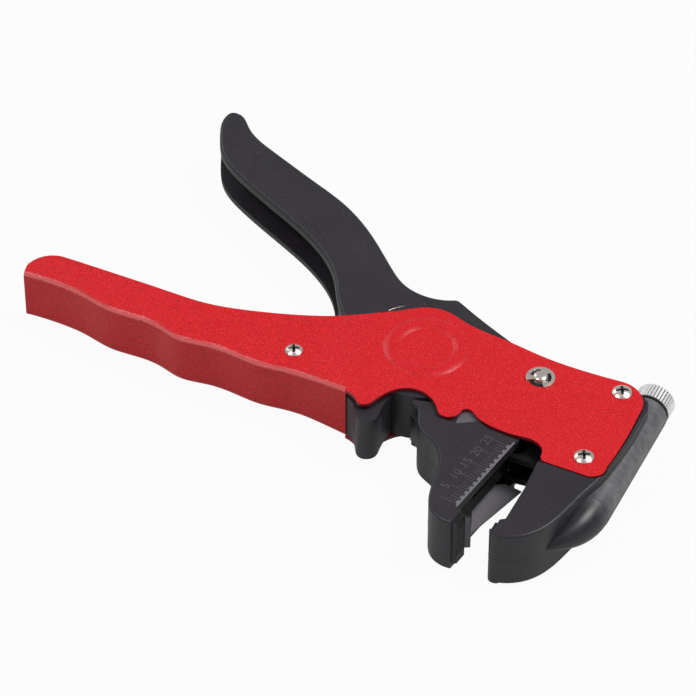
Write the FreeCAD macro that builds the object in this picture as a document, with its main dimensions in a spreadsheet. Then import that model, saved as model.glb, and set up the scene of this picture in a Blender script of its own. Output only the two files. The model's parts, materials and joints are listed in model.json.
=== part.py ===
import FreeCAD, Part
import math
import os

from FreeCAD import Vector

# Wire stripping pliers lying on one side, jaws open. Millimetres, +Z up through the tool's
# thickness, +X from the handles to the jaws. Plan outlines are drawn about the lever's pivot,
# and every piece is then placed about the middle of the finished tool's base.

SIZES = {
    "origin_x": -23.22,           # middle of the tool's length, from the lever's pivot
    "origin_y": 8.4,              # middle of its width
    "sheet_wall": 1.0,            # folded steel sheet
    "head_depth": 17.6,           # outside of both plates at the head
    "joggle_rise": 0.8,           # how far each plate steps in along the handle
    "joggle_left": -30.0,
    "joggle_right": -14.0,
    "bend_radius": 1.6,
    "side_gap": 0.2,              # running gap between the plates and what turns in them
    "ring_radius": 9.25,          # crest of the pressed pivot ring
    "ring_width": 4.5,
    "ring_rise": 0.6,
    "ridge_gap": 0.25,
    "pivot_y": -0.4,
    "lever_angle": 20.0,          # full squeeze
    "hub_radius": 18.3,
    "lever_gap": 0.2,             # between the lever's faces and the plates of the handle
    "flange_wall": 2.4,
    "grip_back": 3.4,
    "lever_edge": 1.0,
    "jaw_pin_x": 32.0,
    "jaw_pin_y": -2.8,
    "jaw_pin_radius": 2.5,
    "fit_gap": 0.05,              # radial gap of a running fit
    "jaw_angle": 8.0,             # how far the moving jaw closes
    "jaw_depth": 17.2,            # jaws outside the plates
    "jaw_edge": 0.7,
    "cheek_wall": 2.6,
    "boss_radius": 4.6,
    "boss_height": 3.2,
    "roller_x": 16.0,
    "roller_y": -15.5,
    "roller_radius": 2.5,
    "roller_pin_radius": 1.2,
    "cam_gap": 0.06,
    "drive_wall": 4.0,            # steel plate moulded into the lever
    "link_wall": 1.8,
    "link_gap": 0.6,
    "lean": 7.0,                  # direction the blades are drawn in, from +Y towards +X
    "draw_x": 39.5,
    "draw_y": -8.0,
    "draw_pin_radius": 1.5,
    "slot_gap": 0.2,
    "stroke": 14.3,               # how far the blades are drawn back
    "blade_wall": 1.0,
    "blade_height": 10.8,
    "blade_gap": 0.35,
    "fixed_edge_x": 36.0,
    "moving_edge_x": 28.4,
    "edge_y": -54.6,
    "holder_length": 7.5,
    "holder_height": 10.8,
    "guide_wall": 0.5,
    "grip_wall": 1.1,
    "cutter_height": 9.0,
    "anchor_x": -33.2,
    "anchor_y": -11.85,
    "anchor_radius": 2.6,
    "anchor_neck": 1.7,
    "lug_x": -9.2,
    "lug_y": -13.1,
    "lug_radius": 1.2,
    "spring_radius": 2.0,
    "spring_wire": 0.4,
    "spring_pitch": 1.7,
    "screw_radius": 1.3,
    "screw_head": 2.35,
    "jaw_screw_radius": 1.5,
    "jaw_screw_head": 2.6,
    "head_height": 1.3,           # screw and pin heads, which the tool lies on
    "hole_gap": 0.1,
    "upper_screw_x": 53.75,
    "upper_screw_y": -1.4,
    "lower_screw_x": 50.7,
    "lower_screw_y": -27.6,
    "bush_radius": 2.3,
    "clip_wall": 0.7,
    "clip_radius": 3.9,
    "clip_neck": 1.9,
    "barrel_x": 60.4,             # top of the barrel's axis
    "barrel_y": 3.2,
    "barrel_radius": 5.4,
    "barrel_length": 43.0,
    "barrel_edge": 1.6,
    "bore_radius": 2.9,
    "bore_length": 30.0,
    "knob_radius": 5.3,
    "knob_length": 4.6,
    "knob_teeth": 36,
    "knob_gap": 0.3,
    "adjuster_radius": 1.5,
    "adjuster_length": 24.0,
    "nut_length": 5.0,
    "nut_place": 12.0,            # nut's lower face below the barrel's top
}

doc = FreeCAD.newDocument("wire_stripper")
sheet = doc.addObject("Spreadsheet::Sheet", "sizes")
for row, (alias, number) in enumerate(SIZES.items(), start=1):
    sheet.set("A%d" % row, alias)
    sheet.set("B%d" % row, str(number))
    sheet.setAlias("B%d" % row, alias)
doc.recompute()


class Values:
    """The sheet's cells by name, for outlines that are worked out in code."""

    def __getattr__(self, alias):
        return float(sheet.get(alias))


v = Values()
pieces = []


# Plane geometry

def turned(point, angle, centre=(0.0, 0.0)):
    """A plan point turned about a centre, degrees anticlockwise."""
    c, s = math.cos(math.radians(angle)), math.sin(math.radians(angle))
    x, y = point[0] - centre[0], point[1] - centre[1]
    return (centre[0] + c * x - s * y, centre[1] + s * x + c * y)


def outline(start, *steps):
    """A closed plan face: each step is a line's end, an arc's middle and end, or a curve."""
    edges, here = [], Vector(start[0], start[1], 0)
    for kind, *points in steps:
        points = [Vector(x, y, 0) for x, y in points]
        if kind == "line":
            edges.append(Part.LineSegment(here, points[0]).toShape())
        elif kind == "arc":
            edges.append(Part.Arc(here, points[0], points[1]).toShape())
        else:
            curve = Part.BSplineCurve()
            curve.interpolate([here] + points)
            edges.append(curve.toShape())
        here = points[-1]
    first = Vector(start[0], start[1], 0)
    if here.distanceToPoint(first) > 1e-6:
        edges.append(Part.LineSegment(here, first).toShape())
    return Part.Face(Part.Wire(edges))


def polygon(*points):
    return outline(points[0], *[("line", p) for p in points[1:]])


def shifted(points, distance):
    """Points of an open curve moved to the left of their direction of travel."""
    moved = []
    for i, (x, y) in enumerate(points):
        ax, ay = points[max(i - 1, 0)]
        bx, by = points[min(i + 1, len(points) - 1)]
        length = math.hypot(bx - ax, by - ay)
        moved.append((x - distance * (by - ay) / length, y + distance * (bx - ax) / length))
    return moved


# Document objects

def seat(thing, x="0", y="0", z="0"):
    """Place an object by expressions given about the lever's pivot."""
    thing.setExpression("Placement.Base.x", "(%s) - sizes.origin_x" % x)
    thing.setExpression("Placement.Base.y", "(%s) - sizes.origin_y" % y)
    thing.setExpression("Placement.Base.z", "(%s) + sizes.head_height" % z)
    return thing


def laid(thing, x, y, z, direction):
    """Place an object so that its own +Z lies along a plan direction."""
    spin = FreeCAD.Rotation(Vector(0, 0, 1), Vector(direction[0], direction[1], 0))
    thing.Placement = FreeCAD.Placement(
        Vector(x - v.origin_x, y - v.origin_y, z + v.head_height), spin)
    return thing


def slab(name, face, bottom, height):
    """A plan face raised into a plate."""
    flat = doc.addObject("Part::Feature", name + "_plan")
    flat.Shape = face
    solid = doc.addObject("Part::Extrusion", name)
    solid.Base = flat
    solid.DirMode = "Custom"
    solid.Dir = Vector(0, 0, 1)
    solid.Solid = True
    solid.setExpression("LengthFwd", height)
    return seat(solid, z=bottom)


def layer(name, face, half_depth):
    """A plate centred on the tool's middle plane."""
    return slab(name, face, "sizes.head_depth / 2 - (%s)" % half_depth, "2 * (%s)" % half_depth)


def rod(name, x, y, bottom, radius, height):
    solid = doc.addObject("Part::Cylinder", name)
    solid.setExpression("Radius", radius)
    solid.setExpression("Height", height)
    return seat(solid, x, y, bottom)


def through_rod(name, x, y, radius, half_depth="sizes.head_depth"):
    """A cylinder centred on the middle plane, used to bore holes as well."""
    return rod(name, x, y, "sizes.head_depth / 2 - (%s)" % half_depth, radius,
               "2 * (%s)" % half_depth)


def lathe(name, profile):
    """A solid of revolution about its own Z, from an outline of radius and height."""
    flat = doc.addObject("Part::Feature", name + "_profile")
    flat.Shape = profile
    flat.Placement = FreeCAD.Placement(Vector(), FreeCAD.Rotation(Vector(1, 0, 0), 90))
    solid = doc.addObject("Part::Revolution", name)
    solid.Source = flat
    solid.Axis = Vector(0, 0, 1)
    solid.Base = Vector()
    solid.Angle = 360
    solid.Solid = True
    return solid


def dome(radius, base, rise):
    """The arc of a round end, from its rim to the axis."""
    ball = (radius ** 2 + rise ** 2) / (2 * rise)
    half = math.asin(radius / ball) / 2
    return ("arc", (ball * math.sin(half), base + rise - ball * (1 - math.cos(half))),
            (0, base + rise))


def joined(name, *parts):
    whole = doc.addObject("Part::MultiFuse", name)
    whole.Shapes = list(parts)
    whole.Refine = True
    return whole


def shared(name, *parts):
    common = doc.addObject("Part::MultiCommon", name)
    common.Shapes = list(parts)
    return common


def without(name, base, *tools):
    rest = doc.addObject("Part::Cut", name)
    rest.Base = base
    rest.Tool = tools[0] if len(tools) == 1 else joined(name + "_tools", *tools)
    return rest


def rounded(name, base, radius, wanted):
    """Round the edges of a solid that pass the test, which gets the edge and its middle."""
    doc.recompute()
    picked = []
    for number, edge in enumerate(base.Shape.Edges, start=1):
        low, high = edge.ParameterRange
        at = edge.valueAt((low + high) / 2) + Vector(v.origin_x, v.origin_y, -v.head_height)
        if wanted(edge, at):
            picked.append((number, radius, radius))
    soft = doc.addObject("Part::Fillet", name)
    soft.Base = base
    soft.Edges = picked
    return soft


def piece(node, thing):
    thing.Label = node
    pieces.append(thing)
    return thing


def group(node, *parts):
    """Several separate solids of one kind, kept as one sub-part."""
    whole = doc.addObject("Part::Compound", node)
    whole.Links = list(parts)
    return piece(node, whole)


# Directions and motion

HUB_HALF = "sizes.head_depth / 2 - sizes.sheet_wall - sizes.side_gap"
INNER_HALF = "sizes.jaw_depth / 2 - sizes.cheek_wall"
LEVER_HALF = "sizes.head_depth / 2 - sizes.joggle_rise - sizes.sheet_wall - sizes.lever_gap"
inner_half = v.jaw_depth / 2 - v.cheek_wall
middle = v.head_depth / 2
pivot = (0.0, v.pivot_y)
jaw_pin = (v.jaw_pin_x, v.jaw_pin_y)
drawn = (math.sin(math.radians(v.lean)), math.cos(math.radians(v.lean)))
slide_lean = math.radians(v.lean + v.jaw_angle)
slid = (math.sin(slide_lean), math.cos(slide_lean))


def fixed_side(across, along):
    """A plan point from the fixed blade's edge, across to the right and along the draw."""
    return (v.fixed_edge_x + across * drawn[1] + along * drawn[0],
            v.edge_y - across * drawn[0] + along * drawn[1])


def moving_side(across, along):
    """A plan point from the moving blade's edge, across into the jaw and along its slide."""
    return (v.moving_edge_x - across * slid[1] + along * slid[0],
            v.edge_y + across * slid[0] + along * slid[1])


def strip_of(side, across, along):
    """A rectangle in one blade's own directions: two pairs of limits."""
    (a, b), (c, d) = across, along
    return polygon(side(a, c), side(b, c), side(b, d), side(a, d))


STEM_PLACE = (6.5, 28.3)          # stem pin, across and along from the moving blade's edge
stem_pin = moving_side(*STEM_PLACE)
stem_turned = turned(stem_pin, v.jaw_angle, jaw_pin)
stem_rise = ((stem_turned[0] - stem_pin[0]) * drawn[0]
             + (stem_turned[1] - stem_pin[1]) * drawn[1])
moving_stroke = v.stroke - stem_rise


# Folded body shell

TOP_EDGE = [(-88.4, 2.2), (-73.6, 0.15), (-61.7, -1.3), (-47.6, -0.2), (-34.3, 2.4),
            (-21.7, 6.3), (-10.6, 11.3), (-4.5, 14.4), (1.0, 14.6), (7.0, 12.0),
            (20.0, 8.4), (30.0, 5.6), (42.5, 3.5), (52.5, 2.7)]
WEB_EDGE = [(-112.6, -5.0), (-103.2, -5.9), (-94.3, -8.0), (-86.0, -11.0), (-78.0, -11.9),
            (-71.0, -13.4), (-64.7, -16.0), (-55.5, -16.3), (-46.9, -17.8), (-41.0, -19.0),
            (-33.0, -19.2), (-23.2, -20.6), (-15.4, -22.4)]
LAP = 2.0                         # plates start this far inside the web, past its bend


def web_edge(rise):
    return [(x, y + rise) for x, y in WEB_EDGE]


def web_strip(low, high):
    """The band between two copies of the web's edge."""
    start, *bottom = web_edge(low)
    *top, end = reversed(web_edge(high))
    return outline(start, ("curve", *bottom), ("line", top[0]), ("curve", *top[1:], end))


def plate_face():
    first, *web = web_edge(LAP)
    return outline(first, ("line", (-112.7, -2.2)),
                   ("arc", (-110.3, 2.3), (-104.5, 4.3)),
                   ("curve", *TOP_EDGE),
                   ("arc", (58.1, 0.1), (60.3, -5.6)),
                   ("curve", (59.9, -11.0), (59.1, -18.8), (57.2, -29.4)),
                   ("arc", (56.2, -32.7), (53.2, -33.9)),
                   ("line", (41.8, -32.3)),
                   ("arc", (40.5, -31.6), (40.0, -30.2)),
                   ("curve", (39.2, -27.3), (36.7, -25.6), (32.0, -25.2), (26.0, -24.3),
                    (20.6, -22.0)),
                   ("line", (18.7, -20.3)),
                   ("arc", (17.0, -19.7), (15.7, -20.9)),
                   ("curve", (15.0, -22.8), (13.1, -24.1), (10.9, -23.8), (9.2, -21.4),
                    (5.5, -17.7), (1.5, -16.7), (-2.2, -17.9), (-4.9, -20.5), (-7.4, -24.8)),
                   ("arc", (-9.4, -26.4), (-11.6, -25.3)),
                   ("curve", (-13.2, -23.7), (-15.4, -22.8)),
                   ("line", web[-1]),
                   ("curve", *reversed(web[:-1]), first))


def depth_envelope(name, inset):
    """The tool's side view raised across it: handle depth, joggle and head depth."""
    left, right = -130.0, 80.0
    grip = v.joggle_rise + inset

    def side(low, high):
        step = Part.BSplineCurve()
        step.interpolate([Vector(v.joggle_left, 0, low), Vector(v.joggle_right, 0, high)],
                         Tangents=[Vector(1, 0, 0), Vector(1, 0, 0)],
                         TangentFlags=[True, True])
        flat = Part.LineSegment(Vector(left, 0, low), Vector(v.joggle_left, 0, low))
        rest = Part.LineSegment(Vector(v.joggle_right, 0, high), Vector(right, 0, high))
        return [flat.toShape(), step.toShape(), rest.toShape()]

    sides = side(grip, inset) + side(v.head_depth - grip, v.head_depth - inset)
    for x, inner in ((left, grip), (right, inset)):
        ends = Part.LineSegment(Vector(x, 0, inner), Vector(x, 0, v.head_depth - inner))
        sides.append(ends.toShape())
    flat = doc.addObject("Part::Feature", name + "_side")
    flat.Shape = Part.Face(Part.Wire(Part.__sortEdges__(sides)))
    solid = doc.addObject("Part::Extrusion", name)
    solid.Base = flat
    solid.DirMode = "Custom"
    solid.Dir = Vector(0, 1, 0)
    solid.Solid = True
    solid.LengthFwd = 120.0
    return seat(solid, y="-70")


def ring_bead(name, thinner):
    """A torus through the pressed ring on each plate, thinner for the inner faces."""
    tube = (v.ring_width ** 2 / 4 + v.ring_rise ** 2) / (2 * v.ring_rise)
    beads = []
    for mark, sign in (("upper", 1), ("lower", -1)):
        bead = doc.addObject("Part::Torus", name + "_" + mark)
        bead.setExpression("Radius1", "sizes.ring_radius")
        bead.Radius2 = tube - thinner
        level = middle + sign * (middle + v.ring_rise - tube)
        seat(bead, y="sizes.pivot_y", z=str(level))
        beads.append(bead)
    return beads


def screw_places():
    return (("anchor", "sizes.anchor_x", "sizes.anchor_y", "sizes.screw_radius"),
            ("upper", "sizes.upper_screw_x", "sizes.upper_screw_y", "sizes.jaw_screw_radius"),
            ("lower", "sizes.lower_screw_x", "sizes.lower_screw_y", "sizes.jaw_screw_radius"))


def make_shell():
    outer = depth_envelope("outer_depth", 0.0)
    inner = depth_envelope("inner_depth", v.sheet_wall)
    tall = "sizes.head_depth"

    web_outer = shared("web_block", slab("web_plan", web_strip(0.0, 2 * LAP), "0", tall), outer)
    web_outer = rounded("web_bends", web_outer, v.bend_radius,
                        lambda edge, at: edge.Length > 5 and abs(at.z - middle) > 6
                        and on_web(edge, 0.0))
    web_inner = shared("web_space", slab("space_plan", web_strip(v.sheet_wall, 3 * LAP), "0", tall),
                       inner)
    web_inner = rounded("space_bends", web_inner, v.bend_radius - v.sheet_wall,
                        lambda edge, at: edge.Length > 5 and abs(at.z - middle) > 6
                        and on_web(edge, v.sheet_wall))
    web = without("web", web_outer, web_inner)

    plates = without("plates", shared("plate_block", slab("plate", plate_face(), "0", tall), outer),
                     inner)
    outside = ring_bead("bead", 0.0)
    crown = shared("crown", joined("beads", *outside),
                   through_rod("crown_reach", "0", "sizes.pivot_y", "sizes.hub_radius"),
                   without("crown_skin",
                           through_rod("crown_outside", "0", "sizes.pivot_y", "sizes.hub_radius"),
                           through_rod("crown_inside", "0", "sizes.pivot_y",
                                       "sizes.hub_radius + 1",
                                       "sizes.head_depth / 2 - sizes.sheet_wall / 2")))
    whole = joined("sheet", web, plates, crown)
    holes = [through_rod("hole_" + mark, x, y, radius + " + sizes.hole_gap")
             for mark, x, y, radius in screw_places()]
    holes.append(through_rod("hole_pin", "sizes.jaw_pin_x", "sizes.jaw_pin_y",
                             "sizes.jaw_pin_radius + sizes.hole_gap"))
    piece("body_shell", without("body_shell", whole, *ring_bead("groove", v.sheet_wall), *holes))


def on_web(edge, rise):
    """Whether an edge follows the web's outline."""
    low, high = edge.ParameterRange
    for share in (0.2, 0.5, 0.8):
        at = edge.valueAt(low + share * (high - low))
        x, y = at.x + v.origin_x, at.y + v.origin_y
        near = min(WEB_EDGE[:-1], key=lambda p: abs(p[0] - x))
        if abs(y - near[1] - rise) > 1.6:
            return False
    return True


# Lever

LEVER_FRONT = [(-17.0, -3.5), (-24.9, 5.8), (-28.6, 11.6), (-33.1, 21.5), (-43.8, 33.8), (-56.2, 42.6),
               (-70.0, 51.9), (-78.2, 59.6), (-82.3, 69.0)]
LEVER_TIP = [(-83.2, 72.6), (-83.2, 75.6), (-82.0, 78.1), (-79.6, 78.2)]
LEVER_BACK = [(-75.4, 73.9), (-64.6, 65.4), (-50.0, 56.9), (-39.2, 50.4), (-28.5, 40.8),
              (-19.2, 29.6), (-13.1, 23.6), (-7.0, 21.3), (-2.6, 21.2), (0.4, 21.9)]


def grip_face():
    return outline(LEVER_FRONT[0],
                   ("curve", *LEVER_FRONT[1:], *LEVER_TIP, *LEVER_BACK),
                   ("line", (2.3, 21.5)), ("line", (4.0, 20.4)),
                   ("curve", (10.0, 16.4), (20.0, 10.4), (25.5, 7.2)),
                   ("line", (25.5, 1.8)), ("line", (8.0, -4.0)))


def groove_face():
    """The channel along the grip, behind its front edge."""
    back = shifted(LEVER_BACK, -v.grip_back)[0:6]
    return outline((-80.3, 71.5), ("curve", *back), ("line", (-26.0, 14.0)),
                   ("line", (-34.0, 4.0)), ("line", (-70.0, 40.0)), ("line", (-92.0, 66.0)))


def nose_face():
    return outline((-16.9, -8.0), ("curve", (-15.6, -16.0), (-14.7, -23.4)),
                   ("curve", (-12.6, -24.9), (-11.1, -27.6), (-10.1, -29.6), (-7.9, -30.7)),
                   ("curve", (-5.7, -29.7), (-4.85, -27.2)),
                   ("curve", (-4.6, -22.0), (-3.6, -17.4)), ("line", (-2.0, -8.0)))


def spring_pocket():
    """Room for the return spring as the lever turns about it."""
    lug, anchor = (v.lug_x, v.lug_y), (v.anchor_x, v.anchor_y)
    room = v.spring_radius + v.spring_wire + 0.9
    reach = 30.0
    seen = turned(anchor, -v.lever_angle, pivot)
    low = math.atan2(anchor[1] - lug[1], anchor[0] - lug[0])
    high = math.atan2(seen[1] - lug[1], seen[0] - lug[0])
    corner = (lug[0] + room, lug[1])
    under = (lug[0] + room * math.sin(low) * -1, lug[1] - room)
    over = (lug[0] + room * math.sin(high), lug[1] + room)
    return polygon(corner, over,
                   (over[0] + reach * math.cos(high), over[1] + reach * math.sin(high)),
                   (under[0] + reach * math.cos(low), under[1] + reach * math.sin(low)),
                   under)


def roller_path():
    """Where the jaw's roller goes as seen by the lever, from open to shut."""
    path = []
    for step in range(-1, 9):
        angle = v.lever_angle * step / 7.5
        centre = turned((v.roller_x, v.roller_y), angle * v.jaw_angle / v.lever_angle, jaw_pin)
        path.append(turned(centre, -angle, pivot))
    return path


def cam_edge():
    """Surface that pushes the jaw's roller."""
    return shifted(roller_path(), -(v.roller_radius + v.cam_gap))


def roller_ends():
    """The roller's middle at both ends of the squeeze, as seen by the lever."""
    shut = turned((v.roller_x, v.roller_y), v.jaw_angle, jaw_pin)
    return (v.roller_x, v.roller_y), turned(shut, -v.lever_angle, pivot)


def roller_room():
    """The band of the lever that the roller and its pin need clear."""
    room = v.roller_radius + v.side_gap
    near, *outer = shifted(roller_path(), -room)
    *inner, last = reversed(shifted(roller_path(), room))
    return outline(near, ("curve", *outer), ("line", inner[0]), ("curve", *inner[1:], last))


def drive_face():
    cam = cam_edge()
    return outline((-2.0, -7.0), ("line", (2.0, 6.0)),
                   ("curve", (12.0, 9.0), (25.0, 6.9), (40.8, 3.6)),
                   ("arc", (44.2, 1.6), (45.3, -2.0)), ("line", (45.3, -9.3)),
                   ("arc", (44.3, -11.6), (42.0, -12.5)), ("line", (38.9, -12.2)),
                   ("arc", (37.0, -11.4), (36.4, -9.5)), ("line", (36.6, -2.6)),
                   ("arc", (35.9, -0.1), (33.6, 1.0)), ("line", (24.0, 1.4)),
                   ("curve", (18.6, -1.0), (17.0, -7.6), cam[0]),
                   ("curve", *cam[1:]),
                   ("arc", (cam[-1][0] - 1.6, cam[-1][1] - 0.2), (cam[-1][0] - 2.4, cam[-1][1] + 1.6)))


def radial_slot(name, side_gap):
    """The slot that carries the draw pin, along the lever's radius."""
    start = (v.draw_x, v.draw_y)
    end = turned((v.draw_x + v.stroke * drawn[0], v.draw_y + v.stroke * drawn[1]),
                 -v.lever_angle, pivot)
    angle = math.atan2(v.draw_y - v.pivot_y, v.draw_x)
    half = v.draw_pin_radius + side_gap
    near = (start[0] - 0.3 * math.cos(angle), start[1] - 0.3 * math.sin(angle))
    far_out = math.hypot(end[0] - pivot[0], end[1] - pivot[1]) + 0.3
    far = (pivot[0] + far_out * math.cos(angle), pivot[1] + far_out * math.sin(angle))
    return rounded_slot(name, near, far, half)


def rounded_slot(name, near, far, half):
    dx, dy = far[0] - near[0], far[1] - near[1]
    length = math.hypot(dx, dy)
    ux, uy = dx / length, dy / length
    face = outline((near[0] - half * uy, near[1] + half * ux),
                   ("arc", (near[0] - half * ux, near[1] - half * uy),
                    (near[0] + half * uy, near[1] - half * ux)),
                   ("line", (far[0] + half * uy, far[1] - half * ux)),
                   ("arc", (far[0] + half * ux, far[1] + half * uy),
                    (far[0] - half * uy, far[1] + half * ux)))
    return layer(name, face, "sizes.head_depth / 2")


def make_lever():
    grip = layer("grip", grip_face(), LEVER_HALF)
    grip = rounded("grip_edges", grip, v.lever_edge,
                   lambda edge, at: edge.Length > 150)
    nose = layer("nose", nose_face(), LEVER_HALF)
    hub = through_rod("hub", "0", "sizes.pivot_y", "sizes.hub_radius", HUB_HALF)
    ridge = shared("ridge", joined("ridges", *ring_bead("ridge_ring", v.sheet_wall + v.ridge_gap)),
                   without("ridge_skin",
                           through_rod("ridge_reach", "0", "sizes.pivot_y", "sizes.hub_radius"),
                           through_rod("ridge_inside", "0", "sizes.pivot_y",
                                       "sizes.hub_radius + 1", HUB_HALF + " - sizes.sheet_wall")))
    groove = layer("groove", groove_face(), LEVER_HALF + " - sizes.flange_wall")
    pocket = layer("pocket", spring_pocket(), "sizes.spring_radius + sizes.spring_wire + 0.5")
    seat_cut = layer("drive_seat", drive_face(), "sizes.drive_wall / 2")
    lug_hole = through_rod("lug_hole", "sizes.lug_x", "sizes.lug_y", "sizes.lug_radius",
                           "sizes.drive_wall + 1")
    blade_seat = layer("nose_blade_seat", nose_blade_face(), "sizes.cutter_height / 2")
    room = joined("roller_clear", layer("roller_room", roller_room(), "sizes.head_depth / 2"),
                  *[through_rod("roller_room_" + mark, str(x), str(y),
                                "sizes.roller_radius + sizes.side_gap")
                    for mark, (x, y) in zip(("open", "shut"), roller_ends())])
    piece("lever", without("lever", joined("lever_mould", grip, nose, hub, ridge),
                           groove, pocket, seat_cut, lug_hole, blade_seat, room))

    drive = layer("drive_blank", drive_face(), "sizes.drive_wall / 2")
    piece("drive_plate", without("drive_plate", drive,
                                 radial_slot("draw_slot", v.slot_gap)))
    piece("spring_pin", through_rod("spring_pin", "sizes.lug_x", "sizes.lug_y",
                                    "sizes.lug_radius", "sizes.drive_wall + 1"))
    piece("lever_cutter_blade", layer("lever_cutter", nose_blade_face(),
                                      "sizes.cutter_height / 2"))


def nose_blade_face():
    return polygon((-6.2, -25.2), (-4.9, -25.2), (-4.1, -26.3), (-4.9, -27.4), (-6.2, -27.4))


# Moving jaw

def jaw_face():
    """The jaw from its heel beside the lever round to its tip and back to its pin."""
    return outline((2.3, -19.5), ("line", (2.3, -20.9)), ("line", (4.1, -21.5)),
                   ("curve", (5.3, -25.8), (7.3, -30.2), (11.3, -33.3), (14.2, -36.6),
                    (15.7, -41.0), (16.1, -46.0), (16.9, -53.5), (19.0, -57.9), (21.7, -59.8),
                    (24.9, -60.4)),
                   ("line", (26.2, -55.3)), ("line", (24.75, -54.85)), ("line", (32.4, -27.7)),
                   ("curve", (33.8, -21.0), (37.0, -9.0), (38.1, -3.6)),
                   ("arc", (32.4, 3.3), (26.0, -3.6)),
                   ("curve", (23.4, -8.0), (16.4, -10.2), (15.5, -13.0)),
                   ("curve", (12.0, -16.4), (7.5, -18.9)))


def jaw_recess_face():
    """The part of the moving jaw that lies under the plates."""
    return outline((-8.0, 10.0), ("line", (-8.0, -23.2)), ("line", (4.9, -23.2)),
                   ("line", (8.6, -23.0)), ("line", (10.2, -24.9)), ("line", (16.2, -25.4)),
                   ("line", (20.9, -23.0)), ("line", (24.3, -24.9)), ("line", (31.4, -26.4)),
                   ("arc", (32.3, -26.8), (32.6, -27.9)), ("line", (45.0, -27.9)),
                   ("line", (45.0, 10.0)))


def recessed(name, block, face):
    """A jaw brought down to the inside of the plates over one region, on both faces."""
    skins = [slab(name + "_upper", face, "sizes.head_depth / 2 + " + HUB_HALF,
                  "sizes.head_depth / 2"),
             slab(name + "_lower", face, "-sizes.head_depth / 2 + sizes.sheet_wall + sizes.side_gap",
                  "sizes.head_depth / 2")]
    return without(name, block, *skins)


def jaw_hollow():
    """The space between the cheeks in which the blade carriage runs."""
    a, b = moving_side(-8.0, -0.85), moving_side(8.4, -0.85)
    return outline(a, ("line", b), ("line", (18.5, -51.6)), ("line", (18.1, -42.0)),
                   ("line", (18.1, -32.0)), ("line", (15.4, -23.6)), ("line", (12.4, -22.2)),
                   ("line", (4.6, -22.0)), ("line", (-2.0, -21.8)), ("line", (-2.0, 8.0)),
                   ("line", (48.0, 8.0)), ("line", (48.0, -50.0)))


def heel_blade_face():
    return polygon((5.9, -22.6), (4.4, -22.0), (2.4, -22.2), (4.9, -24.4), (6.4, -24.4))


def notch_plate_face():
    return polygon((15.4, -25.1), (16.2, -25.2), (20.7, -22.9), (24.5, -19.0), (22.0, -12.5),
                   (18.5, -19.0), (15.4, -19.0))


def pad_face(left, right):
    """A grip pad's plan between two corner pairs, given as near and far ends."""
    return polygon(left[0], left[1], right[1], right[0])


MOVING_PAD = (((26.2, -55.4), (25.15, -59.3)), ((27.3, -55.4), (26.3, -59.1)))
FIXED_PAD = (((35.3, -55.7), (34.9, -59.2)), ((36.4, -55.7), (36.0, -59.3)))


def pad_blank(name, plan):
    return layer(name, pad_face(*plan), "sizes.jaw_depth / 2 - sizes.cheek_wall / 2")


def ribbed_pad(node, plan, toothed):
    """A pad with level grooves across the face that grips the wire."""
    blank = pad_blank(node + "_blank", plan)
    near, far = plan[toothed]
    grooves = []
    depth, pitch = 0.35, 1.1
    count = int((v.jaw_depth - 3 * v.cheek_wall) / pitch)
    for i in range(count):
        level = middle + (i - (count - 1) / 2) * pitch
        groove = doc.addObject("Part::Box", "%s_groove_%d" % (node, i))
        groove.Length = groove.Width = math.sqrt(2) * depth
        groove.Height = 8.0
        along = Vector(far[0] - near[0], far[1] - near[1], 0).normalize()
        out = Vector(-along.y, along.x, 0)
        spin = FreeCAD.Rotation(out + Vector(0, 0, 1), -out + Vector(0, 0, 1), along, "ZXY")
        start = Vector(near[0] - v.origin_x, near[1] - v.origin_y, level + v.head_height)
        corner = start - along * 1.0 - Vector(0, 0, depth)
        groove.Placement = FreeCAD.Placement(corner, spin)
        grooves.append(groove)
    return piece(node, without(node, blank, *grooves))


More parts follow.
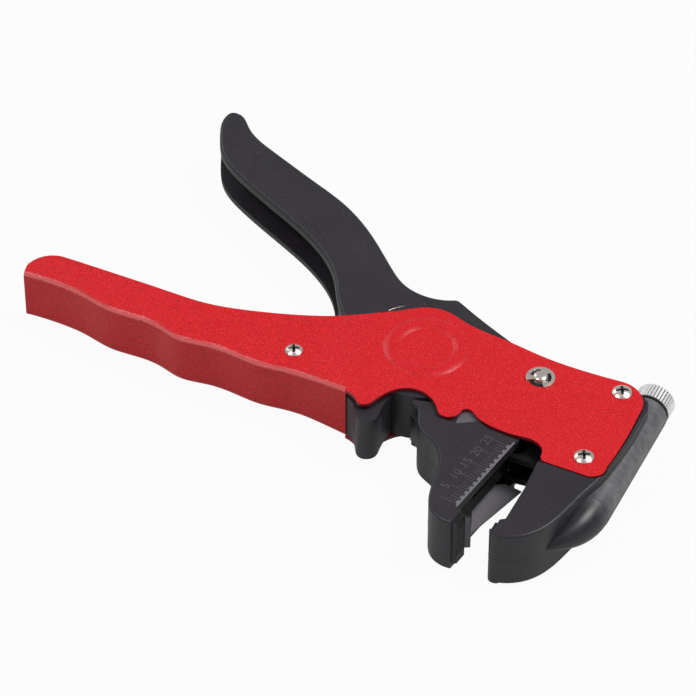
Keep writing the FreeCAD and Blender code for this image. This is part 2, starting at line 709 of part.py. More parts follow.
def make_moving_jaw():
    block = layer("jaw_blank", jaw_face(), "sizes.jaw_depth / 2")
    block = rounded("jaw_edges", block, v.jaw_edge,
                    lambda edge, at: edge.Length > 40 and abs(at.z - middle) > 8)
    hollow = layer("jaw_hollow", jaw_hollow(), INNER_HALF)
    bosses = []
    for mark, level in (("upper", "sizes.head_depth / 2 + %s - sizes.boss_height" % INNER_HALF),
                        ("lower", "sizes.head_depth / 2 - (%s)" % INNER_HALF)):
        bosses.append(rod("jaw_boss_" + mark, "sizes.jaw_pin_x", "sizes.jaw_pin_y", level,
                          "sizes.boss_radius", "sizes.boss_height"))
    open_jaw = without("open_jaw", recessed("jaw_block", block, jaw_recess_face()), hollow)
    holes = [through_rod("jaw_bore", "sizes.jaw_pin_x", "sizes.jaw_pin_y",
                         "sizes.jaw_pin_radius + sizes.fit_gap"),
             through_rod("roller_seat", "sizes.roller_x", "sizes.roller_y",
                         "sizes.roller_pin_radius", HUB_HALF + " - 0.2"),
             layer("heel_blade_seat", heel_blade_face(), "sizes.cutter_height / 2"),
             pad_blank("moving_grip_seat", MOVING_PAD)]
    plates = []
    for mark, level in (("upper", "sizes.head_depth / 2 + %s - sizes.guide_wall" % HUB_HALF),
                        ("lower", "sizes.head_depth / 2 - (%s)" % HUB_HALF)):
        holes.append(slab("notch_seat_" + mark, notch_plate_face(), level, "sizes.guide_wall"))
        plates.append(slab("notch_plate_" + mark, notch_plate_face(), level, "sizes.guide_wall"))
    piece("moving_jaw", without("moving_jaw", joined("bossed_jaw", open_jaw, *bosses), *holes))
    group("jaw_side_plates", *plates)

    roller_half = INNER_HALF + " - 0.2"
    roller = through_rod("roller_blank", "sizes.roller_x", "sizes.roller_y",
                         "sizes.roller_radius", roller_half)
    piece("cam_roller", without("cam_roller", roller,
                                through_rod("roller_bore", "sizes.roller_x", "sizes.roller_y",
                                            "sizes.roller_pin_radius + sizes.fit_gap")))
    piece("roller_pin", through_rod("roller_pin", "sizes.roller_x", "sizes.roller_y",
                                    "sizes.roller_pin_radius", HUB_HALF + " - 0.2"))
    piece("jaw_cutter_blade", layer("jaw_cutter", heel_blade_face(), "sizes.cutter_height / 2"))
    ribbed_pad("moving_jaw_grip", MOVING_PAD, 1)
    guide = outline(moving_side(8.0, 0.0), ("line", moving_side(8.2, 22.0)),
                    ("line", moving_side(4.4, 25.0)), ("line", moving_side(-0.4, 25.0)),
                    ("line", moving_side(3.3, 0.0)))
    piece("jaw_guide_plate", slab("jaw_guide_plate", guide,
                                  "sizes.head_depth / 2 - (%s)" % INNER_HALF, "sizes.guide_wall"))


# Fixed jaw

FIXED_BACK = [(41.2, -60.6), (45.6, -57.8), (49.2, -52.9), (52.0, -46.0), (54.6, -38.8),
              (56.9, -33.0), (58.7, -26.0), (60.4, -17.0), (61.5, -7.5)]


def fixed_face():
    return outline((39.9, -30.8), ("line", (39.25, -43.0)), ("line", (37.75, -54.8)),
                   ("line", (36.4, -55.6)), ("line", (36.0, -59.4)), ("line", (34.9, -59.4)),
                   ("arc", (35.5, -61.0), (37.4, -61.5)), ("curve", *FIXED_BACK),
                   ("arc", (60.6, -1.6), (57.2, 1.4)), ("line", (50.0, 2.3)),
                   ("line", (47.9, -8.0)), ("line", (46.0, -17.0)), ("line", (41.6, -25.6)))


def fixed_recess_face():
    """The part of the fixed jaw that lies under the plates."""
    return outline((30.0, -32.4), ("line", (41.8, -32.6)), ("line", (53.2, -34.2)),
                   ("arc", (56.4, -33.0), (57.5, -29.5)),
                   ("curve", (59.4, -18.8), (60.2, -11.0), (60.7, -3.0)),
                   ("line", (61.2, 12.0)), ("line", (30.0, 12.0)))


def fixed_hollow():
    a, b = fixed_side(-3.0, -0.85), fixed_side(9.3, -0.85)
    return outline(a, ("line", b), ("line", (46.5, -50.0)), ("line", (47.6, -42.0)),
                   ("line", (48.4, -34.0)), ("line", (48.4, -20.0)), ("line", (50.6, -9.0)),
                   ("line", (51.0, 8.0)), ("line", (25.0, 8.0)), ("line", (25.0, -50.0)))


def make_fixed_jaw():
    block = layer("fixed_blank", fixed_face(), "sizes.jaw_depth / 2")
    block = rounded("fixed_edges", block, v.jaw_edge,
                    lambda edge, at: edge.Length > 40 and abs(at.z - middle) > 8)
    hollow = layer("fixed_hollow", fixed_hollow(), INNER_HALF)
    posts = [through_rod("post_" + mark, x, y, "sizes.bush_radius + 0.9", HUB_HALF)
             for mark, x, y, _ in screw_places()[1:]]
    radius, edge = v.barrel_radius, v.barrel_edge
    slant = edge * (1 - math.sqrt(0.5))
    barrel = lathe("barrel", outline(
        (0, 0), ("line", (radius - edge, 0)), ("arc", (radius - slant, slant), (radius, edge)),
        ("line", (radius, v.barrel_length - edge)),
        ("arc", (radius - slant, v.barrel_length - slant), (radius - edge, v.barrel_length)),
        ("line", (0, v.barrel_length))))
    end = (v.barrel_x - v.barrel_length * drawn[0], v.barrel_y - v.barrel_length * drawn[1])
    laid(barrel, end[0], end[1], middle, drawn)
    bore = doc.addObject("Part::Cylinder", "barrel_bore")
    bore.setExpression("Radius", "sizes.bore_radius")
    bore.setExpression("Height", "sizes.bore_length + 1")
    laid(bore, v.barrel_x - v.bore_length * drawn[0], v.barrel_y - v.bore_length * drawn[1],
         middle, drawn)
    bush_seats = [through_rod("bush_seat_" + mark, x, y, "sizes.bush_radius", HUB_HALF)
                  for mark, x, y, _ in screw_places()[1:]]
    open_jaw = without("open_fixed", recessed("fixed_block", block, fixed_recess_face()), hollow)
    piece("fixed_jaw", without("fixed_jaw", joined("barrelled", open_jaw, barrel, *posts),
                               bore, pad_blank("fixed_grip_seat", FIXED_PAD), *bush_seats))
    bushes = []
    for mark, x, y, _ in screw_places()[1:]:
        blank = through_rod("bush_blank_" + mark, x, y, "sizes.bush_radius", HUB_HALF)
        bushes.append(without("bush_" + mark, blank,
                              through_rod("bush_bore_" + mark, x, y, "sizes.jaw_screw_radius")))
    group("threaded_bushes", *bushes)
    ribbed_pad("fixed_jaw_grip", FIXED_PAD, 0)


# Screws, pin and clip

def screw(name, x, y, radius, head, length, top):
    """A domed screw with a crossed recess, head outside one plate."""
    rise = v.head_height
    profile = outline((0, -length), ("line", (radius, -length)), ("line", (radius, 0)),
                      ("line", (head, 0)), ("line", (head, rise * 0.3)),
                      dome(head, rise * 0.3, rise * 0.7))
    body = lathe(name + "_turned", profile)
    slots = []
    for turn in (20, 110):
        slot = doc.addObject("Part::Box", "%s_slot_%d" % (name, turn))
        slot.Length, slot.Width, slot.Height = head * 1.25, head * 0.3, rise
        spin = FreeCAD.Rotation(Vector(0, 0, 1), turn)
        slot.Placement = FreeCAD.Placement(
            spin.multVec(Vector(-slot.Length.Value / 2, -slot.Width.Value / 2, rise * 0.15)), spin)
        slots.append(slot)
    done = without(name, body, *slots)
    flip = 0 if top else 180
    level = v.head_height + (plate_level(x) if top else v.head_depth - plate_level(x))
    done.Placement = FreeCAD.Placement(Vector(x - v.origin_x, y - v.origin_y, level),
                                       FreeCAD.Rotation(Vector(1, 0, 0), flip))
    return done


def plate_level(x):
    """Height of the upper plate's outer face."""
    return v.head_depth if x > v.joggle_right else v.head_depth - v.joggle_rise


def make_fasteners():
    for side, top in (("upper", True), ("lower", False)):
        group("jaw_screws_" + side,
              screw("jaw_screw_a_" + side, v.upper_screw_x, v.upper_screw_y, v.jaw_screw_radius,
                    v.jaw_screw_head, 6.0, top),
              screw("jaw_screw_b_" + side, v.lower_screw_x, v.lower_screw_y, v.jaw_screw_radius,
                    v.jaw_screw_head, 6.0, top))
    group("anchor_screws", *[screw("anchor_screw_" + side, v.anchor_x, v.anchor_y, v.screw_radius,
                                   v.screw_head, 5.0, top)
                             for side, top in (("upper", True), ("lower", False))])

    half = v.head_depth / 2 - v.joggle_rise - v.sheet_wall
    neck = v.spring_wire * 2
    post = lathe("post_turned", outline(
        (v.screw_radius, -half), ("line", (v.anchor_radius, -half)),
        ("line", (v.anchor_radius, -neck)), ("line", (v.anchor_neck, -neck)),
        ("line", (v.anchor_neck, neck)), ("line", (v.anchor_radius, neck)),
        ("line", (v.anchor_radius, half)), ("line", (v.screw_radius, half))))
    piece("spring_post", seat(post, "sizes.anchor_x", "sizes.anchor_y", "sizes.head_depth / 2"))

    radius, neck, depth = v.jaw_pin_radius, v.clip_neck, v.head_depth
    pin = lathe("pin_turned", outline(
        (0, -v.head_height), ("line", (3.3, -v.head_height)), ("line", (3.7, -0.9)),
        ("line", (3.7, 0)), ("line", (radius, 0)), ("line", (radius, depth)),
        ("line", (neck, depth)), ("line", (neck, depth + v.clip_wall)),
        ("line", (radius - 0.1, depth + v.clip_wall)),
        ("line", (radius - 0.1, depth + v.clip_wall + 0.3)),
        dome(radius - 0.1, depth + v.clip_wall + 0.3, 0.6)))
    piece("jaw_pivot_pin", seat(pin, "sizes.jaw_pin_x", "sizes.jaw_pin_y", "0"))

    outer, inner = v.clip_radius, v.clip_neck
    face = outline((inner * 0.5, -outer * 0.98), ("arc", (outer * 1.0, 0.0), (0.0, outer)),
                   ("arc", (-outer * 1.0, 0.0), (-inner * 0.5, -outer * 0.98)),
                   ("line", (-inner * 0.8, -inner * 0.7)),
                   ("arc", (-inner * 1.35, 0.0), (-inner * 1.05, inner * 0.95)),
                   ("line", (-inner * 0.4, inner * 0.92)),
                   ("arc", (0.0, inner), (inner * 0.4, inner * 0.92)),
                   ("line", (inner * 1.05, inner * 0.95)),
                   ("arc", (inner * 1.35, 0.0), (inner * 0.8, -inner * 0.7)))
    face.rotate(Vector(), Vector(0, 0, 1), -25)
    clip = slab("clip", face, "sizes.head_depth", "sizes.clip_wall")
    piece("retaining_clip", seat(clip, "sizes.jaw_pin_x", "sizes.jaw_pin_y", "sizes.head_depth"))


# Blades and what draws them

def link_face():
    return outline(fixed_side(2.9, 4.0), ("line", fixed_side(6.9, 4.0)),
                   ("line", fixed_side(6.9, 31.0)), ("line", fixed_side(0.8, 47.4)),
                   ("arc", fixed_side(-1.3, 49.6), fixed_side(-4.3, 48.6)),
                   ("arc", fixed_side(-5.1, 46.6), fixed_side(-4.9, 45.2)),
                   ("line", fixed_side(-1.0, 31.0)), ("line", fixed_side(-11.6, 31.0)),
                   ("arc", fixed_side(-13.0, 30.4), fixed_side(-13.4, 28.9)),
                   ("line", fixed_side(-13.4, 27.1)),
                   ("arc", fixed_side(-13.0, 25.6), fixed_side(-11.6, 25.0)),
                   ("line", fixed_side(2.9, 25.0)))


def make_draw_gear():
    drop = "sizes.drive_wall / 2 + sizes.link_gap"
    start = stem_pin
    end_turned = turned((stem_pin[0] + moving_stroke * slid[0],
                         stem_pin[1] + moving_stroke * slid[1]), v.jaw_angle, jaw_pin)
    end = (end_turned[0] - v.stroke * drawn[0], end_turned[1] - v.stroke * drawn[1])
    links = []
    for mark, level in (("upper", "sizes.head_depth / 2 + " + drop),
                        ("lower", "sizes.head_depth / 2 - (%s) - sizes.link_wall" % drop)):
        blank = slab("link_blank_" + mark, link_face(), level, "sizes.link_wall")
        slot = rounded_slot("link_slot_" + mark, start, end, v.draw_pin_radius - 0.3 + v.slot_gap)
        hole = through_rod("link_hole_" + mark, "sizes.draw_x", "sizes.draw_y",
                           "sizes.draw_pin_radius")
        rivet = fixed_side(4.9, 9.6)
        rivet_hole = through_rod("rivet_hole_" + mark, str(rivet[0]), str(rivet[1]), "1.2")
        links.append(without("link_" + mark, blank, slot, hole, rivet_hole))
    group("draw_links", *links)
    reach = drop + " + sizes.link_wall + 0.4"
    piece("draw_pin", through_rod("draw_pin", "sizes.draw_x", "sizes.draw_y",
                                  "sizes.draw_pin_radius", reach))

    rivet = fixed_side(4.9, 9.6)
    block = layer("fixed_holder_block",
                  strip_of(fixed_side, (2.6, 8.6), (0.5, v.holder_length)),
                  "sizes.holder_height / 2")
    neck = layer("fixed_holder_neck",
                 strip_of(fixed_side, (2.9, 6.9), (v.holder_length - 0.1, 12.0)), drop)
    slots = []
    for mark, level in (("upper", "sizes.head_depth / 2 + " + drop),
                        ("lower", "sizes.head_depth / 2 - (%s) - sizes.link_wall" % drop)):
        slots.append(slab("holder_slot_" + mark, link_face(), level, "sizes.link_wall"))
    rivet_hole = through_rod("holder_rivet_hole", str(rivet[0]), str(rivet[1]), "1.2")
    screw_hole = blade_screw("fixed_screw_hole", fixed_side(5.4, -0.5), drawn)
    holder = joined("fixed_holder", block, neck)
    piece("fixed_blade_holder", without("fixed_blade_holder", holder, *slots, rivet_hole,
                                        screw_hole))
    piece("link_rivet", through_rod("link_rivet", str(rivet[0]), str(rivet[1]), "1.2", reach))
    blade = layer("fixed_blade_blank", blade_face(fixed_side, 8.4), "sizes.blade_height / 2")
    piece("fixed_blade", without("fixed_blade", blade,
                                 blade_screw("fixed_blade_hole", fixed_side(5.4, -0.5), drawn)))
    piece("fixed_blade_screw", blade_screw("fixed_blade_screw", fixed_side(5.4, -0.5), drawn))


def blade_face(side, depth):
    """A stripping blade's plan: a thin strip sharpened at the wire."""
    half = v.blade_wall / 2
    return polygon(side(0.0, half - 0.1), side(0.0, half), side(depth, half), side(depth, -half),
                   side(1.2, -half))


def blade_screw(name, place, direction):
    """A small countersunk screw along the draw, head flush with the blade."""
    profile = outline((0, 0), ("line", (1.7, 0)), ("line", (0.9, 0.8)), ("line", (0.9, 6.0)),
                      ("line", (0, 6.0)))
    return laid(lathe(name, profile), place[0], place[1], middle, direction)


def make_moving_carriage():
    holder = layer("moving_holder_block",
                   strip_of(moving_side, (4.0, 8.8), (0.5, v.holder_length)),
                   "sizes.holder_height / 2")
    lift = slab("holder_lift", strip_of(moving_side, (-2.0, 12.0), (-2.0, 40.0)), "0",
                "sizes.head_depth / 2 - (%s) + sizes.guide_wall + 0.1" % INNER_HALF)
    stem = layer("stem", strip_of(moving_side, (4.8, 8.2), (v.holder_length - 0.1, 30.3)),
                 "sizes.drive_wall / 2")
    pin_hole = through_rod("stem_hole", str(stem_pin[0]), str(stem_pin[1]),
                           "sizes.draw_pin_radius - 0.3")
    screw_hole = blade_screw("moving_screw_hole", moving_side(6.4, -0.5), slid)
    piece("moving_blade_holder", without("moving_blade_holder",
                                         joined("moving_holder", holder, stem),
                                         lift, pin_hole, screw_hole))
    reach = "sizes.drive_wall / 2 + sizes.link_gap + sizes.link_wall + 0.4"
    piece("stem_pin", through_rod("stem_pin", str(stem_pin[0]), str(stem_pin[1]),
                                  "sizes.draw_pin_radius - 0.3", reach))
    blade = layer("moving_blade_blank", blade_face(moving_side, 8.2), "sizes.blade_height / 2")
    piece("moving_blade", without("moving_blade", blade,
                                  blade_screw("moving_blade_hole", moving_side(6.4, -0.5), slid)))
    piece("moving_blade_screw", blade_screw("moving_blade_screw", moving_side(6.4, -0.5), slid))


# Adjuster

def make_adjuster():
    radius, length = v.knob_radius, v.knob_length
    body = doc.addObject("PartDesign::Body", "knob")
    plane = [p for p in body.Origin.OriginFeatures if p.Role == "XY_Plane"][0]
    rim = body.newObject("Sketcher::SketchObject", "knob_rim")
    rim.AttachmentSupport = (plane, [""])
    rim.MapMode = "FlatFace"
    rim.addGeometry(Part.Circle(Vector(0, 0, 0), Vector(0, 0, 1), radius), False)
    pad = body.newObject("PartDesign::Pad", "knob_disc")
    pad.Profile = rim
    pad.setExpression("Length", "sizes.knob_length")
    doc.recompute()
    groove = body.newObject("Sketcher::SketchObject", "knob_groove")
    groove.AttachmentSupport = (plane, [""])
    groove.MapMode = "FlatFace"
    half = math.pi * radius / v.knob_teeth * 0.8
    corners = [Vector(radius + 0.2, -half, 0), Vector(radius + 0.2, half, 0),
               Vector(radius - 0.35, 0, 0)]
    for a, b in zip(corners, corners[1:] + corners[:1]):
        groove.addGeometry(Part.LineSegment(a, b), False)
    pocket = body.newObject("PartDesign::Pocket", "knob_cut")
    pocket.Profile = groove
    pocket.Type = "ThroughAll"
    pocket.Reversed = True
    doc.recompute()
    pattern = body.newObject("PartDesign::PolarPattern", "knob_knurl")
    pattern.Originals = [pocket]
    pattern.Axis = (rim, ["N_Axis"])
    pattern.Angle = 360
    pattern.Occurrences = int(v.knob_teeth)
    body.Tip = pattern
    start = (v.barrel_x + v.knob_gap * drawn[0], v.barrel_y + v.knob_gap * drawn[1])
    laid(body, start[0], start[1], middle, drawn)
    piece("adjust_knob", body)

    shaft = lathe("adjuster_turned", outline(
        (0, 0), ("line", (v.adjuster_radius, 0)), ("line", (v.adjuster_radius, -v.adjuster_length)),
        ("line", (0, -v.adjuster_length))))
    laid(shaft, start[0], start[1], middle, drawn)
    piece("adjust_screw", shaft)

    nut = lathe("nut_turned", outline(
        (v.adjuster_radius + v.fit_gap, 0), ("line", (v.bore_radius - v.fit_gap, 0)),
        ("line", (v.bore_radius - v.fit_gap, v.nut_length)),
        ("line", (v.adjuster_radius + v.fit_gap, v.nut_length))))
    laid(nut, v.barrel_x - v.nut_place * drawn[0], v.barrel_y - v.nut_place * drawn[1],
         middle, drawn)
    piece("adjust_nut", nut)


# Return spring

def make_spring():
    """Coil from the post in the handle to the lug in the lever, with an eye at each end."""
    post, lug = Vector(v.anchor_x, v.anchor_y, middle), Vector(v.lug_x, v.lug_y, middle)
    along = (lug - post).normalize()
    wire = v.spring_wire
    eyes = []
    for centre, radius in ((post, v.anchor_neck), (lug, v.lug_radius)):
        eyes.append((centre, radius + wire + 0.05))
    first = post + along * (eyes[0][1] + 2.6)
    last = lug - along * (eyes[1][1] + 1.8)
    length = (last - first).Length
    turns = round(length / v.spring_pitch)
    helix = Part.makeHelix(length / turns, length, v.spring_radius)
    ring = Part.Wire(Part.makeCircle(wire, Vector(v.spring_radius, 0, 0), Vector(0, 1, 0)))
    coil = Part.Wire(helix).makePipeShell([ring], True, True)
    spin = FreeCAD.Rotation(Vector(0, 0, 1), along)
    coil.Placement = FreeCAD.Placement(first, spin)
    start = first + spin.multVec(Vector(v.spring_radius, 0, 0))
    end = last + spin.multVec(Vector(v.spring_radius, 0, 0))
    parts = [coil]
    for (centre, radius), tip, side in ((eyes[0], start, 1), (eyes[1], end, -1)):
        parts.append(Part.makeTorus(radius, wire, centre))
        foot = centre + along * (side * radius)
        run = tip - foot
        parts.append(Part.makeCylinder(wire, run.Length, foot, run))
        parts.append(Part.makeSphere(wire, tip))
    spring = doc.addObject("Part::Feature", "return_spring")
    spring.Shape = parts[0].fuse(parts[1:])
    seat(spring)
    piece("return_spring", spring)


make_shell()
make_lever()
make_moving_jaw()
make_fixed_jaw()
make_fasteners()
make_draw_gear()
make_moving_carriage()
make_adjuster()
make_spring()
doc.recompute()

faults = [o.Name for o in doc.Objects if {"Invalid", "Error"} & set(o.State)]
for thing in pieces:
    if thing.Shape.isNull() or not thing.Shape.isValid():
        faults.append(thing.Label)
if faults:
    raise RuntimeError("not built: " + ", ".join(faults))

os.makedirs("parts", exist_ok=True)
for thing in pieces:
    thing.Shape.exportStep("parts/%s.step" % thing.Label)
    box = thing.Shape.BoundBox
    print("%-22s %d solids, volume %8.1f, x %.1f %.1f y %.1f %.1f z %.1f %.1f" % (
        thing.Label, len(thing.Shape.Solids), thing.Shape.Volume, box.XMin, box.XMax,
        box.YMin, box.YMax, box.ZMin, box.ZMax))
print("moving stroke %.3f" % moving_stroke)
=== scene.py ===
"""Dresses the wire stripping pliers: finishes, rounded edges, jaw scale, mould marks, a stage."""

import json
import math

import bmesh
import bpy
from mathutils import Matrix, Vector


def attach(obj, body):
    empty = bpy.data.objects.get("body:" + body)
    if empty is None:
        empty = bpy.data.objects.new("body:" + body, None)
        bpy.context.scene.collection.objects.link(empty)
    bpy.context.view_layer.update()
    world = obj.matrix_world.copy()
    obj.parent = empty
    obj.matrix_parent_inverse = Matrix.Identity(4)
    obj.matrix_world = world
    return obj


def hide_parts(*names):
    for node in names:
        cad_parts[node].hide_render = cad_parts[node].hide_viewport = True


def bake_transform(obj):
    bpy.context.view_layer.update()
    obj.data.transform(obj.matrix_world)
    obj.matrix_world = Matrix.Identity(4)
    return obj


bl_info = {
    "name": "Wire Stripper Looks",
    "version": (1, 0, 0),
    "blender": (4, 5, 0),
    "location": "View3D > Sidebar > Wire Stripper",
    "description": "Finishes and small mould details for a pair of wire stripping pliers",
    "category": "Object",
}

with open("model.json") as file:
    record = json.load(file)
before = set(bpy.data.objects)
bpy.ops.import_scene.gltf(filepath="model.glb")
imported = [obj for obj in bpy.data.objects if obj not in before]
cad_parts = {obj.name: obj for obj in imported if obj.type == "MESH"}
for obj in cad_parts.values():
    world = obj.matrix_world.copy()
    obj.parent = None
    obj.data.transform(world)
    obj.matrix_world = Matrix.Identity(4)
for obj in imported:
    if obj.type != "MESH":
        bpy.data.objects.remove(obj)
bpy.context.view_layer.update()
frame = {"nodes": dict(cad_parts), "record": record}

MM = 0.001
# The lever's pivot in the frame, in millimetres; the plan points below are drawn about it.
PIVOT = Vector((23.22, -8.4, 1.3))
# Heights over the lower plate's face: the tool's middle, and the upper plate's two levels.
MIDDLE = 8.8
HANDLE_TOP = 16.8
HEAD_TOP = 17.6
# The web's right end, beyond which the plates' edges are bare cuts.
WEB_END = -15.2
# The adjuster's barrel: the top of its axis, and the way that the axis runs.
BARREL_TOP = (60.4, 3.2, MIDDLE)
BARREL_WAY = (math.sin(math.radians(7.0)), math.cos(math.radians(7.0)), 0.0)
# In metres: the barrel's radius and how far down it is scuffed and painted with a highlight,
# the knob's radius over its teeth and the depth of its grooves.
BARREL_RADIUS = 0.0054
SCUFF_AND_HIGHLIGHT_LENGTH = 0.0455
KNOB_CREST = 0.0053
KNOB_DEPTH = 0.00034


def place(x, y, z):
    """A point given in millimetres about the lever's pivot, in the frame's metres."""
    return (Vector((x, y, z)) + PIVOT) * MM


# Sizes and colours that a user would change

def colour_setting(name, description, default):
    return bpy.props.FloatVectorProperty(
        name=name, description=description, subtype="COLOR", size=4, default=(*default, 1.0),
        min=0.0, max=1.0)


def length_setting(name, description, default, least, most):
    return bpy.props.FloatProperty(
        name=name, description=description, subtype="DISTANCE", unit="LENGTH", default=default,
        min=least, max=most)


class FinishSettings(bpy.types.PropertyGroup):
    coat_colour: colour_setting("Coat", "Powder coat on the steel shell", (0.71, 0.005, 0.011))
    coat_fleck: bpy.props.FloatProperty(
        name="Coat fleck", description="Strength of the sparkle in the coat", default=0.22,
        min=0.0, max=1.0)
    plastic_colour: colour_setting("Plastic", "Lever and jaws", (0.025, 0.0215, 0.026))
    steel_colour: colour_setting("Steel", "Spring, roller and pins", (0.42, 0.41, 0.42))
    satin_colour: colour_setting(
        "Satin plates", "Plates seen in the notch and the mouth", (0.15, 0.142, 0.155))
    dark_steel_colour: colour_setting(
        "Dark steel", "Blackened drive plate, links and holders", (0.035, 0.032, 0.036))
    knob_colour: colour_setting("Knob", "Dull nickel on the knurled knob", (0.90, 0.90, 0.89))
    nickel_colour: colour_setting("Nickel", "Screws, pin and clip", (0.82, 0.74, 0.66))
    brass_colour: colour_setting("Brass", "Bushes and nut", (0.62, 0.43, 0.18))
    grip_colour: colour_setting(
        "Grip pads", "Blackened steel pads in the jaws", (0.07, 0.066, 0.07))


class DetailSettings(bpy.types.PropertyGroup):
    edge_round: length_setting(
        "Edge rounding", "Radius left by moulding or tumbling", 0.00045, 0.00005, 0.001)
    tick_pitch: length_setting(
        "Scale pitch", "Distance between two marks of the jaw's scale", 0.001, 0.0005, 0.005)
    tick_count: bpy.props.IntProperty(
        name="Scale marks", description="Marks on the jaw's scale", default=26, min=2, max=60)
    tick_width: length_setting("Mark width", "Width of one mark", 0.00022, 0.0001, 0.001)
    tick_short: length_setting("Short mark", "Length of a plain mark", 0.0022, 0.0005, 0.01)
    tick_long: length_setting("Long mark", "Length of each fifth mark", 0.0042, 0.0005, 0.01)
    tooth_pitch: length_setting(
        "Tooth pitch", "Distance between the teeth along the scale's edge", 0.002, 0.001, 0.005)
    mark_rise: length_setting("Mark rise", "Height of the moulded marks", 0.00006, 0.00001, 0.0003)
    seam_rise: length_setting(
        "Seam", "Size of the line where the mould's halves met", 0.00005, 0.00001, 0.0003)
    digit_height: length_setting(
        "Digit height", "Height of the numbers on the scale", 0.0026, 0.001, 0.006)


class StageSettings(bpy.types.PropertyGroup):
    view_azimuth: bpy.props.FloatProperty(
        name="Azimuth", description="Camera's turn about the tool", subtype="ANGLE",
        unit="ROTATION", default=math.radians(18.0))
    view_elevation: bpy.props.FloatProperty(
        name="Elevation", description="Camera's height angle", subtype="ANGLE",
        unit="ROTATION", default=math.radians(43.0))
    view_distance: bpy.props.FloatProperty(
        name="Distance", description="From the camera to the shell's upper face",
        subtype="DISTANCE", unit="LENGTH", default=1.0576)
    lens: bpy.props.FloatProperty(
        name="Lens", description="Focal length", subtype="DISTANCE_CAMERA", default=206.9)
    floor_colour: colour_setting("Floor", "Paper under the tool", (0.48, 0.48, 0.48))


# Shader groups

def node_group(name, inputs, outputs):
    """An empty shader group with float inputs and the given output kinds."""
    group = bpy.data.node_groups.new(name, "ShaderNodeTree")
    for label, default in inputs:
        socket = group.interface.new_socket(label, in_out="INPUT", socket_type="NodeSocketFloat")
        socket.default_value = default
    for label, kind in outputs:
        group.interface.new_socket(label, in_out="OUTPUT", socket_type=kind)
    start = group.nodes.new("NodeGroupInput")
    end = group.nodes.new("NodeGroupOutput")
    start.location, end.location = (-800, 0), (600, 0)
    return group, start, end


def add(tree, kind, at=(0, 0), **values):
    node = tree.nodes.new(kind)
    node.location = at
    for key, value in values.items():
        setattr(node, key, value)
    return node


def give(tree, slot, value):
    """Links an input to a socket, or sets it to a plain value."""
    if hasattr(value, "is_output"):
        tree.links.new(value, slot)
    else:
        slot.default_value = value


def math_node(tree, operation, first, second, at=(0, 0), third=None, clamp=False):
    """A math node whose inputs are sockets or numbers."""
    node = add(tree, "ShaderNodeMath", at, operation=operation, use_clamp=clamp)
    give(tree, node.inputs[0], first)
    give(tree, node.inputs[1], second)
    if third is not None:
        give(tree, node.inputs[2], third)
    return node.outputs[0]


def vector_node(tree, operation, at, *values):
    """A vector math node whose inputs are sockets or vectors."""
    node = add(tree, "ShaderNodeVectorMath", at, operation=operation)
    for slot, value in zip(node.inputs, values):
        give(tree, slot, value)
    return node


def vector_of(tree, x=0.0, y=0.0, z=0.0, at=(0, 0)):
    """A vector of three sockets or numbers."""
    node = add(tree, "ShaderNodeCombineXYZ", at)
    for slot, value in zip(node.inputs, (x, y, z)):
        give(tree, slot, value)
    return node.outputs[0]


def scaled_colour(tree, colour, factor, at):
    """A colour times a factor."""
    node = vector_node(tree, "SCALE", at, colour)
    tree.links.new(factor, node.inputs["Scale"])
    return node.outputs[0]


def mixed(tree, factor, first, second, at):
    """A colour between two others."""
    node = add(tree, "ShaderNodeMix", at, data_type="RGBA")
    give(tree, node.inputs["Factor"], factor)
    give(tree, node.inputs["A"], first)
    give(tree, node.inputs["B"], second)
    return node.outputs["Result"]


def noise(tree, coordinate, scale, detail=2.0, rough=0.5, at=(0, 0)):
    node = add(tree, "ShaderNodeTexNoise", at)
    tree.links.new(coordinate, node.inputs["Vector"])
    give(tree, node.inputs["Scale"], scale)
    node.inputs["Detail"].default_value = detail
    node.inputs["Roughness"].default_value = rough
    return node.outputs["Fac"]


def make_fleck_group():
    """Fine light and dark specks: a factor about 0.5, and a sparse mask of bright grains."""
    group, start, end = node_group(
        "fleck", [("Grain Scale", 2600.0), ("Contrast", 1.0), ("Sparse", 0.68)],
        [("Factor", "NodeSocketFloat"), ("Grains", "NodeSocketFloat"),
         ("Height", "NodeSocketFloat")])
    where = add(group, "ShaderNodeTexCoord", (-1000, 200)).outputs["Object"]
    fine = noise(group, where, start.outputs["Grain Scale"], 3.0, 0.6, (-600, 200))
    centred = math_node(group, "SUBTRACT", fine, 0.5, (-400, 200))
    scaled = math_node(group, "MULTIPLY", centred, start.outputs["Contrast"], (-200, 200))
    factor = math_node(group, "ADD", scaled, 0.5, (0, 200), clamp=True)
    half = math_node(group, "MULTIPLY", start.outputs["Grain Scale"], 0.6, (-600, -200))
    coarse = noise(group, where, half, 1.0, 0.5, (-400, -200))
    above = math_node(group, "SUBTRACT", coarse, start.outputs["Sparse"], (-200, -200))
    grains = math_node(group, "MULTIPLY", above, 12.0, (0, -200), clamp=True)
    group.links.new(factor, end.inputs["Factor"])
    group.links.new(grains, end.inputs["Grains"])
    group.links.new(fine, end.inputs["Height"])


def make_wear_group():
    """Slow unevenness from handling, which changes colour and roughness a little."""
    group, start, end = node_group(
        "handling", [("Patch Scale", 60.0), ("Amount", 0.1)],
        [("Shade", "NodeSocketFloat"), ("Roughness", "NodeSocketFloat")])
    where = add(group, "ShaderNodeTexCoord", (-1000, 0)).outputs["Object"]
    patches = noise(group, where, start.outputs["Patch Scale"], 4.0, 0.55, (-600, 0))
    centred = math_node(group, "SUBTRACT", patches, 0.5, (-400, 0))
    scaled = math_node(group, "MULTIPLY", centred, start.outputs["Amount"], (-200, 0))
    shade = math_node(group, "ADD", scaled, 1.0, (0, 100))
    group.links.new(shade, end.inputs["Shade"])
    group.links.new(scaled, end.inputs["Roughness"])


